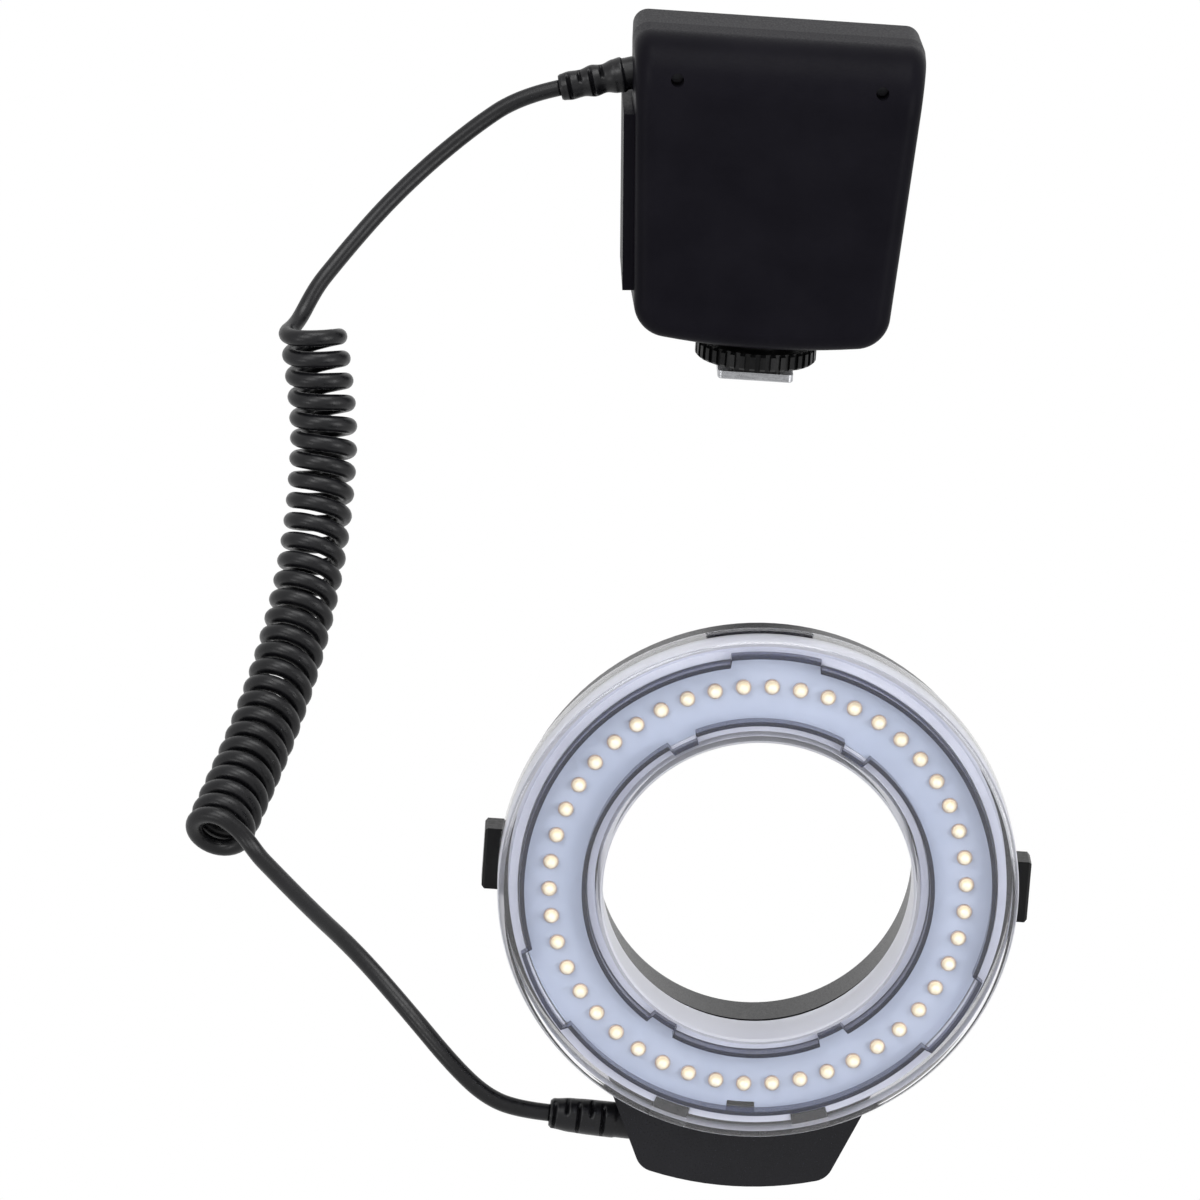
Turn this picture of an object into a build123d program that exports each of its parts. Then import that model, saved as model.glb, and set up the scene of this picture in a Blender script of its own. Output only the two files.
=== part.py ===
"""Macro LED ring light: hot-shoe controller, curly cord and ring head.

Millimetres. +Z is up, the lamps shine along -Y, and the origin is the centre of the
underside of the hot-shoe foot. The ring's axis runs along Y, below and ahead of the foot.
"""
from build123d import *
import math
import os

os.makedirs("parts", exist_ok=True)

# Clearances between pieces
FIT = 0.1
SLIDE_GAP = 0.2
SEAT_GAP = 0.05

# Hot-shoe foot
FOOT_WIDTH = 18.6
FOOT_LENGTH = 18.0
FOOT_THICK = 2.0
FOOT_CORNER = 1.2
FOOT_CHAMFER = 0.3
FOOT_HOLE_SPACING_X = 7.6
FOOT_HOLE_SPACING_Y = 11.0
FOOT_SCREW_R = 0.9
FOOT_SCREW_HEAD_R = 1.7
FOOT_SCREW_HEAD = 0.92
FOOT_SCREW_LENGTH = 6.0
RAIL_THICK = 1.6
STEM_R = 9.5
STEM_NECK_WIDTH = 12.2
STEM_FLANGE_R = 13.0
STEM_FLANGE_THICK = 2.5
CONTACT_R = 1.2
CONTACT_PROUD = 0.8
CONTACT_COLLAR_R = 1.9
CONTACT_COLLAR_THICK = 1.0
CONTACT_WELL_DEPTH = 6.0
CONTACT_GUIDE = 1.5
SPIGOT_WALL = 0.6
SPRING_WIRE = 0.4
SPRING_STRIP = 0.32
SPRING_TURNS = 3

# Locking wheel
CLAMP_R = 12.6
CLAMP_THICK = 1.2
CLAMP_TRAVEL = 1.25
WHEEL_R = 15.0
WHEEL_THICK = 4.2
WHEEL_RIBS = 36
WHEEL_RIB_DEPTH = 0.7
WHEEL_EDGE = 0.6
WHEEL_ROOM = 0.35

# AA cells
CELL_R = 7.1
CELL_SPACING = 14.5
CELL_LENGTH = 49.2
CELL_NUB_R = 2.75
CELL_NUB = 1.0

# Controller housing
BODY_BASE = FOOT_THICK + RAIL_THICK + SLIDE_GAP + WHEEL_THICK + CLAMP_TRAVEL + WHEEL_ROOM
BODY_HEIGHT = 76.4
BODY_TOP_WIDTH = 72.6
BODY_SIDE_ROOM = 13.8
BODY_BASE_WIDTH = CELL_LENGTH + BODY_SIDE_ROOM
BODY_FRONT_DEPTH = 22.0
BODY_REAR_DEPTH = 20.0
PARTING_Y = 2.0
BODY_WALL = 2.0
BODY_DRAFT = 1.5
BODY_BASE_SAG = 2.6
BODY_BASE_CORNER = 9.0
BODY_BROW = 15.0
BODY_FRONT_ROUND = 4.2
BODY_REAR_ROUND = 2.6
CASE_SCREW_SPACING = 50.0
CASE_SCREW_DROP = 9.7
CASE_SCREW_HEAD_R = 1.5
CASE_SCREW_HEAD = 1.2
CASE_SCREW_R = 1.0
CASE_SCREW_LENGTH = 20.0
CASE_SCREW_RECESS = 7.0
CASE_POST_R = 3.2

# Battery compartment
CAGE_WALL = 1.2
CAGE_ROOM = 0.3
CAGE_INSIDE = CELL_SPACING + 2 * CELL_R + CAGE_ROOM
CAGE_BASE = 20.5
CAGE_Y = 1.0
CONTACT_PLATE = 0.4
CONTACT_WIDTH = 11.0
DOOR_BASE = 22.0
DOOR_HEIGHT = 44.0
DOOR_FRONT_Y = -13.5
DOOR_PROUD = 2.2
DOOR_LIP_WIDTH = 1.6
DOOR_LIP_THICK = 1.97

# Display, board and buttons on the rear face
LCD_WIDTH = 38.0
LCD_HEIGHT = 15.0
LCD_CENTRE_Z = 73.5
LCD_THICK = 2.6
LCD_MARGIN = 2.0
WINDOW_THICK = 1.0
BOARD_WIDTH = 49.6
BOARD_NECK_WIDTH = 42.0
BOARD_HEIGHT = 30.0
BOARD_SHOULDER = 15.5
BOARD_BASE = 52.5
BOARD_THICK = 1.4
TACT_SIZE = 4.5
TACT_THICK = 1.1
BUTTON_ROW_Z = 58.0
BUTTON_R = 3.4
BUTTON_FLANGE_R = 4.2
BUTTON_FLANGE = 0.8
BUTTON_PROUD = 1.0
BUTTONS = {"minus_button": -8.0, "mode_button": 1.6, "plus_button": 11.2, "test_button": 21.6}
SWITCH_X = -20.5
SWITCH_TRAVEL = 3.0
SWITCH_KNOB = 4.0
SWITCH_HEIGHT = 4.4
SWITCH_FLANGE_WIDTH = 8.4
SWITCH_FLANGE_HEIGHT = 6.4

# Cord
CORD_D = 4.0
CURL_R = 6.2
CURL_PITCH_TOP = 5.35
CURL_PITCH_END = 5.0
CURL_START_TURN = 150.0
CURL_END_TURN = 300.0
CURL_SIDES = 5

# Strain reliefs
BOOT_LENGTH = 18.0
BOOT_ROOT_R = 4.0
BOOT_TIP_R = 3.5
BOOT_COLLAR = 2.6
BOOT_CONE = 5.0
BOOT_GROOVES = 4
BOOT_GROOVE = 1.1
BOOT_GROOVE_DEPTH = 0.55
BOOT_FLANGE_R = 4.6
BOOT_FLANGE = 1.6
BOOT_UPPER_DROOP = 16.0
BOOT_UPPER_Z = 73.0
BOOT_UPPER_GRIP = 3.3
BOOT_LOWER_GRIP = 4.2
BOOT_LOWER_X = -24.9
BOOT_LOWER_Y = -181.8
BOOT_LOWER_Z = -133.2
BOOT_LOWER_RISE = 3.0

# Lens adapter and release latches, outward from the thread
THREAD_R = 38.5
THREAD_LENGTH = 3.5
THREAD_START_Y = -174.4
ADAPTER_LIP = 4.1
ADAPTER_NECK = 1.9
ADAPTER_WALL = 2.3
ADAPTER_R = THREAD_R + ADAPTER_LIP
ADAPTER_NECK_R = THREAD_R + ADAPTER_NECK
ADAPTER_BORE_R = THREAD_R - ADAPTER_WALL
ADAPTER_FRONT_Y = -183.0
ADAPTER_FLANGE = 3.6
ADAPTER_GROOVE = 1.4
ADAPTER_GROOVE_DEPTH = 1.2
LATCH_Y = -181.0
LATCH_THICK = 2.4
LATCH_ROOM = 2.4
LATCH_WIDTH = 3.0
LATCH_SWEEP = 179.0
LATCH_BRIDGE = 6.0
LATCH_BRIDGE_TURN = 15.0
LATCH_IN_R = ADAPTER_R + LATCH_ROOM
LATCH_OUT_R = LATCH_IN_R + LATCH_WIDTH
HOOK_THICK = 1.0
HOOK_BITE = 1.0
HOOK_ANGLE = 14.0
HOOK_TIP_R = ADAPTER_R - HOOK_BITE
BUTTON_SETBACK = 3.6
BUTTON_FLANGE_WIDTH = 2.2
BUTTON_FLANGE_SWEEP = 28.0
BUTTON_HALF = 7.2
BUTTON_FRONT_Y = -187.6
BUTTON_REAR_Y = -179.6
BUTTON_BACK_R = LATCH_OUT_R + BUTTON_SETBACK
BUTTON_FLANGE_OUT_R = BUTTON_BACK_R + BUTTON_FLANGE_WIDTH
LUG_HALF = 1.0
LUG_ROOM = 1.2
RELEASE_SPRING_R = 1.6
RELEASE_SPRING_INSET = 2.0
RELEASE_SPRING_LENGTH = 8.5
RELEASE_STOP = 2.0

# Black case behind the lamps
CAVITY_ROOM = 0.6
CASE_WALL = 3.8
CASE_TAPER = 2.4
CASE_CAVITY_R = BUTTON_FLANGE_OUT_R + CAVITY_ROOM
CASE_R = CASE_CAVITY_R + CASE_WALL
CASE_REAR_R = CASE_R - CASE_TAPER
CASE_FRONT_Y = -190.0
CASE_SHOULDER_Y = -188.4
CASE_DRAFT_Y = -179.0
CASE_REAR_Y = -177.0
CASE_COLLAR = 1.6
COLLAR_END_Y = -183.05
LUG_R = CASE_CAVITY_R - LUG_ROOM
RELEASE_SPRING_DROP = LUG_R - RELEASE_SPRING_INSET
GUIDE_WALL = 1.5
GUIDE_IN_R = ADAPTER_R + SLIDE_GAP
GUIDE_OUT_R = GUIDE_IN_R + GUIDE_WALL
GUIDE_END_Y = -182.4
REAR_COVER_THICK = 1.6
REAR_COVER_ROOM = 0.4
REAR_COVER_BORE_R = ADAPTER_R + REAR_COVER_ROOM
COVER_POST_R = 1.8
COVER_POST_INSET = 2.8
COVER_POST_TURNS = (45.0, 135.0, 225.0, 315.0)
COVER_POST_CIRCLE_R = CASE_CAVITY_R - COVER_POST_INSET
COVER_SCREW_R = 0.8
COVER_SCREW_HEAD_R = 1.5
COVER_SCREW_HEAD = 0.9
COVER_SCREW_LENGTH = 6.0

# Clear cover, with the stations along the ring's axis
RING_Z = -70.0
LAMP_Y = -195.0
COVER_OVERHANG = 0.8
COVER_WALL = 1.5
OPENING_STEP = 1.0
RING_R = CASE_R + COVER_OVERHANG
OPENING_R = ADAPTER_BORE_R - OPENING_STEP
CASE_LIP_R = RING_R - COVER_WALL - FIT
CASE_BORE_ROOM = 0.3
CASE_BORE_R = OPENING_R + COVER_WALL + CASE_BORE_ROOM
BUTTON_STAND = 3.3
BUTTON_OUT = RING_R + BUTTON_STAND
COVER_FRONT_Y = -200.0
COVER_SKIRT_Y = -188.5
COVER_HUB_Y = -187.0
COVER_RIM_EDGE = 1.4
COVER_HUB_EDGE = 0.6
RIDGE_THICK = 1.0
RIDGE_STEP = 1.7
RIM_NOTCH_ANGLE = 22.0
RIM_NOTCH_TURNS = (0.0, 120.0, 240.0)
HUB_NOTCH_ANGLE = 10.0
HUB_NOTCH_TURNS = (30.0, 150.0, 210.0, 330.0)
JOG_ANGLE = 1.2

# Lamps, their board and tray
TRAY_FRONT_Y = -195.8
TRAY_FLOOR = 1.6
TRAY_ROOM = 1.3
TRAY_BORE_ROOM = 0.5
TRAY_RIM = 1.9
TRAY_HUB = 1.7
TRAY_OUT_R = RING_R - COVER_WALL - TRAY_ROOM
TRAY_IN_R = OPENING_R + COVER_WALL + TRAY_BORE_ROOM
LAMP_BOARD_ROOM = 0.3
LAMP_BOARD_OUT_R = TRAY_OUT_R - TRAY_RIM - LAMP_BOARD_ROOM
LAMP_BOARD_IN_R = TRAY_IN_R + TRAY_HUB
LAMP_BOARD_THICK = 1.6
LED_COUNT = 46
LED_INSET = 6.75
LED_CIRCLE_R = LAMP_BOARD_OUT_R - LED_INSET
LED_R = 1.75
LED_SIDES = 8
LED_HEIGHT = 2.3
LED_TAPER = 18.0
LED_FIRST_TURN = 7.4
SNAP_TURN = 16.3
SNAP_ANGLE = 8.0
SNAP_PLAY = 0.5
SNAP_ROOM = 0.4
SNAP_THICK = 2.1
SNAP_COVER = 0.6
SNAP_OUT_R = RING_R - COVER_WALL - SNAP_ROOM
SNAP_IN_R = SNAP_OUT_R - SNAP_THICK
SNAP_HOOK_R = RING_R - SNAP_COVER
SNAP_FRONT_Y = -196.5
SNAP_HOOK = 1.5
WIRE_NOTCH_ANGLE = 7.0
WIRE_NOTCH = 2.4

# Bottom housing of the ring head
BOSS_REACH = 16.0
BOSS_R = RING_R + BOSS_REACH
BOSS_TOP_HALF = 31.0
BOSS_TOP_DROP = 50.0
BOSS_BASE_HALF = 21.5
BOSS_CORNER = 5.0
BOSS_WALL = 1.8
BOSS_POST_X = 15.5
BOSS_POST_INSET = 6.0
BOSS_POST_DROP = BOSS_R - BOSS_POST_INSET
DRIVER_WIDTH = 25.0
DRIVER_HEIGHT = 8.5
DRIVER_INSET = 11.4
DRIVER_DROP = BOSS_R - DRIVER_INSET
DRIVER_Y = -182.4
DRIVER_THICK = 1.6

# Routes of the cord's free stretches and the axis of its curls
UPPER_ROUTE = [
    (-73.5, -0.8, 57.3),
    (-86.8, -6.4, 45.6),
    (-98.6, -14.6, 33.4),
    (-107.2, -24.2, 23.2),
]
AXIS_ROUTE = [
    (-109.6, -40.0, 14.0),
    (-105.2, -42.0, -5.0),
    (-104.7, -47.0, -23.5),
    (-106.0, -56.0, -41.0),
    (-109.2, -69.0, -57.5),
    (-114.0, -86.0, -72.0),
    (-120.2, -106.0, -84.6),
    (-124.0, -119.0, -91.0),
]
LOWER_ROUTE = [
    (-112.5, -127.5, -93.6),
    (-101.9, -141.0, -99.3),
    (-89.4, -160.5, -103.5),
    (-76.4, -173.5, -113.1),
    (-66.0, -180.2, -122.5),
    (-58.2, -181.6, -129.0),
]
UPPER_LEAD = 10.0
LOWER_LEAD = 7.8


def ring_plane(y):
    """Plane across the ring's axis, seen from the front, with its normal towards -Y."""
    return Plane(origin=(0, y, RING_Z), x_dir=(1, 0, 0), z_dir=(0, -1, 0))


RING_SECTION = Plane(origin=(0, 0, RING_Z), x_dir=(0, 1, 0), z_dir=(1, 0, 0))
RING_AXIS = Axis((0, 0, RING_Z), (0, 1, 0))


def section_box(y_low, y_high, r_low, r_high):
    """Rectangle of a turned profile: its span along the axis and its two radii."""
    with Locations(((y_low + y_high) / 2, (r_low + r_high) / 2)):
        Rectangle(y_high - y_low, r_high - r_low)


def sector(r_in, r_out, turn, angle):
    """Face between two radii, centred at a turn from the top, clockwise from the front."""
    start = 90 - turn - angle / 2
    with BuildSketch(mode=Mode.PRIVATE) as face:
        with BuildLine():
            outer = CenterArc((0, 0), r_out, start, angle)
            inner = CenterArc((0, 0), r_in, start, angle)
            Line(outer @ 0, inner @ 0)
            Line(outer @ 1, inner @ 1)
        make_face()
    return face.sketch


def ring_point(radius, turn):
    """Point at a radius and a turn from the top, clockwise as seen from the front."""
    angle = math.radians(90 - turn)
    return (radius * math.cos(angle), radius * math.sin(angle))


def rings(*radii):
    """Full ring between two radii, on the current sketch."""
    Circle(max(radii))
    Circle(min(radii), mode=Mode.SUBTRACT)


# Controller housing
BODY_TOP = BODY_BASE + BODY_HEIGHT
FRONT_Y = PARTING_Y - BODY_FRONT_DEPTH
REAR_Y = PARTING_Y + BODY_REAR_DEPTH
FRONT_PLANE = Plane(origin=(0, PARTING_Y, 0), x_dir=(1, 0, 0), z_dir=(0, -1, 0))
REAR_PLANE = Plane(origin=(0, PARTING_Y, 0), x_dir=(-1, 0, 0), z_dir=(0, 1, 0))
CASE_SCREW_Z = BODY_TOP - CASE_SCREW_DROP


def half_width(z):
    """Half the housing's width at the parting plane, at a height."""
    share = (z - BODY_BASE) / BODY_HEIGHT
    return (BODY_BASE_WIDTH + (BODY_TOP_WIDTH - BODY_BASE_WIDTH) * share) / 2


def base_floor(radius):
    """Highest level of the housing's inner floor within a radius of the stem's axis."""
    arc_r = ((BODY_BASE_WIDTH / 2) ** 2 + BODY_BASE_SAG**2) / (2 * BODY_BASE_SAG)
    bow = arc_r - math.sqrt(arc_r**2 - radius**2)
    draft = (radius + PARTING_Y) * math.tan(math.radians(BODY_DRAFT))
    return BODY_BASE + BODY_WALL + bow + draft


def housing_outline(inset=0.0, top_corner=0.0):
    """Front view of the housing, smaller all round by an inset, with or without top corners."""
    base_half = BODY_BASE_WIDTH / 2
    top_half = BODY_TOP_WIDTH / 2
    base_z = BODY_BASE + BODY_BASE_SAG
    with BuildSketch(mode=Mode.PRIVATE) as face:
        with BuildLine():
            Polyline((-base_half, base_z), (-top_half, BODY_TOP), (top_half, BODY_TOP), (base_half, base_z))
            ThreePointArc((-base_half, base_z), (0, BODY_BASE), (base_half, base_z))
        make_face()
        if top_corner > 0:
            fillet(face.vertices().group_by(Axis.Y)[-1], top_corner)
        fillet(face.vertices().filter_by(lambda v: v.Y < base_z + 1), BODY_BASE_CORNER)
        if inset > 0:
            offset(amount=-inset)
    return face.sketch


def rim_edges(block):
    """Edges that the front's rounding follows: sides, base and top, not the brow or the seams."""
    low = BODY_BASE + BODY_BASE_SAG + BODY_BASE_CORNER
    rim = []
    for edge in block.edges():
        middle = edge.center()
        run = edge % 0.5
        brow = abs(run.X) > 0.9 and middle.Z > low
        seam = abs(run.Y) > 0.9 and middle.Z < low
        if middle.Y < PARTING_Y - 1 and not brow and not seam:
            rim.append(edge)
    return rim


def front_block(block, inset):
    """Rounded front half of the housing in the current block, smaller all round by an inset."""
    extrude(FRONT_PLANE * housing_outline(inset), amount=BODY_FRONT_DEPTH - inset, taper=BODY_DRAFT)
    brow = block.faces().sort_by(Axis.Y)[0].edges().sort_by(Axis.Z)[-1]
    fillet(brow, BODY_BROW - inset)
    fillet(rim_edges(block), BODY_FRONT_ROUND - inset)


DOOR_WALL = BODY_WALL + BODY_REAR_DEPTH * math.tan(math.radians(BODY_DRAFT)) + SLIDE_GAP
DOOR_INNER_X = -half_width(DOOR_BASE) + DOOR_WALL + DOOR_LIP_THICK
CELL_START_X = DOOR_INNER_X + CONTACT_PLATE + SEAT_GAP


def door_section(gap, inner_x):
    """Cross-section of the door: a plate in the flank, and a wider lip behind the wall."""
    low = DOOR_BASE
    high = DOOR_BASE + DOOR_HEIGHT
    slope = Vector(half_width(low) - half_width(high), high - low).normalized()
    inward = Vector(slope.Y, -slope.X)
    foot = Vector(-half_width(low), low)
    length = (high - low) / slope.Y
    lip_low = -DOOR_LIP_WIDTH - gap
    lip_high = length + DOOR_LIP_WIDTH + gap
    low_depth = (inner_x - foot.X - slope.X * lip_low) / inward.X
    high_depth = (inner_x - foot.X - slope.X * lip_high) / inward.X
    corners = [
        (-gap, -DOOR_PROUD - gap),
        (-gap, DOOR_WALL - gap),
        (lip_low, DOOR_WALL - gap),
        (lip_low, low_depth),
        (lip_high, high_depth),
        (lip_high, DOOR_WALL - gap),
        (length + gap, DOOR_WALL - gap),
        (length + gap, -DOOR_PROUD - gap),
    ]
    with BuildSketch(mode=Mode.PRIVATE) as face:
        with BuildLine():
            Polyline(*[foot + slope * s + inward * n for s, n in corners], close=True)
        make_face()
    return face.sketch


def cut_door():
    """Cut the door's opening and its two tracks out of the current shell."""
    opening = door_section(SLIDE_GAP, DOOR_INNER_X + CONTACT_PLATE + SLIDE_GAP)
    front = Plane(origin=(0, DOOR_FRONT_Y - SLIDE_GAP, 0), x_dir=(-1, 0, 0), z_dir=(0, 1, 0))
    extrude(front * mirror(opening, about=Plane.YZ), amount=REAR_Y + 1 - DOOR_FRONT_Y, mode=Mode.SUBTRACT)


BOOT_DROOP = math.radians(BOOT_UPPER_DROOP)
BOOT_UPPER_DIR = Vector(-math.cos(BOOT_DROOP), 0, -math.sin(BOOT_DROOP))
BOOT_UPPER_ROOT = Vector(-half_width(BOOT_UPPER_Z), PARTING_Y, BOOT_UPPER_Z)
BOOT_RISE = math.radians(BOOT_LOWER_RISE)
BOOT_LOWER_DIR = Vector(-math.cos(BOOT_RISE), 0, math.sin(BOOT_RISE))
BOOT_LOWER_ROOT = Vector(BOOT_LOWER_X, BOOT_LOWER_Y, BOOT_LOWER_Z)


def boot_disc(root, direction, station, *radii):
    """Disc, or ring, across a strain relief at a station along the cord's way out."""
    plane = Plane(origin=root + direction * station, x_dir=(0, 1, 0), z_dir=direction)
    with BuildSketch(plane, mode=Mode.PRIVATE) as face:
        Circle(max(radii))
        if len(radii) > 1:
            Circle(min(radii), mode=Mode.SUBTRACT)
    return face.sketch


def cut_boot_hole(root, direction):
    """Drill the round hole that a strain relief passes through."""
    hole = boot_disc(root, direction, -BOOT_ROOT_R - BODY_WALL, BOOT_ROOT_R + FIT)
    extrude(hole, amount=2 * BOOT_ROOT_R + BODY_WALL, mode=Mode.SUBTRACT)


CASE_SCREW_POINTS = [(-CASE_SCREW_SPACING / 2, CASE_SCREW_Z), (CASE_SCREW_SPACING / 2, CASE_SCREW_Z)]
with BuildPart() as front_cavity:
    front_block(front_cavity, BODY_WALL)

POST_DEPTH = BODY_FRONT_DEPTH - BODY_WALL / 2
POST_PROFILE_TOP = BODY_TOP - BODY_WALL / 2
with BuildPart() as front_posts:
    with BuildSketch(FRONT_PLANE):
        with Locations(*CASE_SCREW_POINTS):
            Circle(CASE_POST_R)
    extrude(amount=POST_DEPTH)
    with BuildSketch(Plane.YZ) as profile:
        with Locations((PARTING_Y - POST_DEPTH / 2, (BODY_BASE + POST_PROFILE_TOP) / 2)):
            Rectangle(POST_DEPTH, POST_PROFILE_TOP - BODY_BASE)
        fillet(profile.vertices().sort_by(lambda v: v.Y - v.X)[-1], BODY_BROW - BODY_WALL / 2)
    extrude(amount=BODY_TOP_WIDTH, both=True, mode=Mode.INTERSECT)

with BuildPart() as front_shell:
    front_block(front_shell, 0)
    add(front_cavity.part, mode=Mode.SUBTRACT)
    add(front_posts.part)
    with BuildSketch(FRONT_PLANE.offset(BODY_FRONT_DEPTH)):
        with Locations(*CASE_SCREW_POINTS):
            Circle(CASE_SCREW_HEAD_R + FIT)
    extrude(amount=-CASE_SCREW_RECESS, mode=Mode.SUBTRACT)
    with BuildSketch(FRONT_PLANE):
        with Locations(*CASE_SCREW_POINTS):
            Circle(CASE_SCREW_R + FIT)
    extrude(amount=BODY_FRONT_DEPTH, mode=Mode.SUBTRACT)
    with BuildSketch(Plane.XY):
        Circle(STEM_R + FIT)
    extrude(amount=CAGE_BASE, mode=Mode.SUBTRACT)
    cut_boot_hole(BOOT_UPPER_ROOT, BOOT_UPPER_DIR)
    cut_door()
front_shell.part.label = "front_shell"
export_step(front_shell.part, "parts/front_shell.step")

with BuildPart() as rear_shell:
    with BuildSketch(REAR_PLANE):
        add(housing_outline(top_corner=BODY_FRONT_ROUND))
    extrude(amount=BODY_REAR_DEPTH, taper=BODY_DRAFT)
    fillet(rear_shell.faces().sort_by(Axis.Y)[-1].edges(), BODY_REAR_ROUND)
    offset(amount=-BODY_WALL, openings=rear_shell.faces().sort_by(Axis.Y)[0])
    with BuildSketch(REAR_PLANE):
        with Locations(*CASE_SCREW_POINTS):
            Circle(CASE_POST_R)
    extrude(amount=BODY_REAR_DEPTH - BODY_WALL / 2)
    with BuildSketch(REAR_PLANE):
        with Locations(*CASE_SCREW_POINTS):
            Circle(CASE_SCREW_R + SEAT_GAP)
    extrude(amount=CASE_SCREW_LENGTH / 2, mode=Mode.SUBTRACT)
    with BuildSketch(REAR_PLANE):
        with Locations((0, LCD_CENTRE_Z)):
            Rectangle(LCD_WIDTH, LCD_HEIGHT)
        with Locations(*[(-x, BUTTON_ROW_Z) for x in BUTTONS.values()]):
            Circle(BUTTON_R + FIT)
        with Locations((-SWITCH_X - SWITCH_TRAVEL / 2, BUTTON_ROW_Z)):
            Rectangle(SWITCH_KNOB + SWITCH_TRAVEL + 2 * SLIDE_GAP, SWITCH_HEIGHT + 2 * SLIDE_GAP)
    extrude(amount=BODY_REAR_DEPTH, mode=Mode.SUBTRACT)
    with BuildSketch(REAR_PLANE.offset(BODY_REAR_DEPTH)):
        with Locations((0, LCD_CENTRE_Z)):
            Rectangle(LCD_WIDTH + 2 * (LCD_MARGIN + FIT), LCD_HEIGHT + 2 * (LCD_MARGIN + FIT))
    extrude(amount=-WINDOW_THICK - SEAT_GAP, mode=Mode.SUBTRACT)
    with BuildSketch(Plane.XY):
        Circle(STEM_R + FIT)
    extrude(amount=CAGE_BASE, mode=Mode.SUBTRACT)
    cut_boot_hole(BOOT_UPPER_ROOT, BOOT_UPPER_DIR)
    cut_door()
rear_shell.part.label = "rear_shell"
export_step(rear_shell.part, "parts/rear_shell.step")

CASE_SCREW_SEAT_Y = FRONT_Y + CASE_SCREW_RECESS
with BuildPart() as case_screws:
    with BuildSketch(Plane(origin=(0, CASE_SCREW_SEAT_Y, 0), x_dir=(1, 0, 0), z_dir=(0, -1, 0))):
        with Locations(*CASE_SCREW_POINTS):
            Circle(CASE_SCREW_HEAD_R)
    extrude(amount=CASE_SCREW_HEAD)
    with BuildSketch(Plane(origin=(0, CASE_SCREW_SEAT_Y, 0), x_dir=(1, 0, 0), z_dir=(0, -1, 0))):
        with Locations(*CASE_SCREW_POINTS):
            Circle(CASE_SCREW_R)
    extrude(amount=-CASE_SCREW_LENGTH)
case_screws.part.label = "case_screws"
export_step(case_screws.part, "parts/case_screws.step")

# Battery compartment
CAGE_CENTRE_Z = CAGE_BASE + CAGE_WALL + CAGE_INSIDE / 2
CAGE_OUTSIDE = CAGE_INSIDE + 2 * CAGE_WALL
CELL_END_X = CELL_START_X + CELL_LENGTH + CELL_NUB
CELL_CENTRES = GridLocations(CELL_SPACING, CELL_SPACING, 2, 2)


def cell_plane(x):
    """Plane across the cells at a station along them, centred on the battery compartment."""
    return Plane(origin=(x, CAGE_Y, CAGE_CENTRE_Z), x_dir=(0, 1, 0), z_dir=(1, 0, 0))


CAGE_START_X = CELL_START_X + SLIDE_GAP
CAGE_DEPTH = CELL_END_X + 2 * SEAT_GAP + CONTACT_PLATE - CAGE_START_X

with BuildPart() as battery_cage:
    with BuildSketch(cell_plane(CAGE_START_X)):
        Rectangle(CAGE_OUTSIDE, CAGE_OUTSIDE)
    extrude(amount=CAGE_DEPTH + CAGE_WALL)
    with BuildSketch(cell_plane(CAGE_START_X)):
        Rectangle(CAGE_INSIDE, CAGE_INSIDE)
    extrude(amount=CAGE_DEPTH, mode=Mode.SUBTRACT)
battery_cage.part.label = "battery_cage"
export_step(battery_cage.part, "parts/battery_cage.step")

with BuildPart() as cell_contacts:
    with BuildSketch(cell_plane(CELL_END_X + SEAT_GAP)):
        with GridLocations(CELL_SPACING, 1, 2, 1):
            Rectangle(CONTACT_WIDTH, 2 * CONTACT_WIDTH)
    extrude(amount=CONTACT_PLATE)
cell_contacts.part.label = "cell_contacts"
export_step(cell_contacts.part, "parts/cell_contacts.step")

with BuildPart() as aa_cells:
    with BuildSketch(cell_plane(CELL_START_X)):
        with CELL_CENTRES:
            Circle(CELL_R)
    extrude(amount=CELL_LENGTH)
    with BuildSketch(cell_plane(CELL_START_X + CELL_LENGTH)):
        with CELL_CENTRES:
            Circle(CELL_NUB_R)
    extrude(amount=CELL_NUB)
aa_cells.part.label = "aa_cells"
export_step(aa_cells.part, "parts/aa_cells.step")

with BuildPart() as battery_door:
    with BuildSketch(Plane(origin=(0, DOOR_FRONT_Y, 0), x_dir=(-1, 0, 0), z_dir=(0, 1, 0))):
        add(mirror(door_section(0, DOOR_INNER_X), about=Plane.YZ))
    extrude(amount=REAR_Y - DOOR_FRONT_Y)
battery_door.part.label = "battery_door"
export_step(battery_door.part, "parts/battery_door.step")

with BuildPart() as door_contacts:
    with BuildSketch(cell_plane(DOOR_INNER_X)):
        with GridLocations(1, CELL_SPACING, 1, 2):
            Rectangle(2 * CONTACT_WIDTH, CONTACT_WIDTH)
    extrude(amount=CONTACT_PLATE)
door_contacts.part.label = "door_contacts"
export_step(door_contacts.part, "parts/door_contacts.step")

# Display, board and controls
LCD_FRONT_Y = REAR_Y - BODY_WALL - SLIDE_GAP
BOARD_REAR_Y = LCD_FRONT_Y - LCD_THICK - SEAT_GAP
FLANGE_REAR_Y = REAR_Y - BODY_WALL - SLIDE_GAP


def rear_plane(y):
    """Plane parallel to the rear face, seen from behind, with its normal towards +Y."""
    return Plane(origin=(0, y, 0), x_dir=(-1, 0, 0), z_dir=(0, 1, 0))


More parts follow.
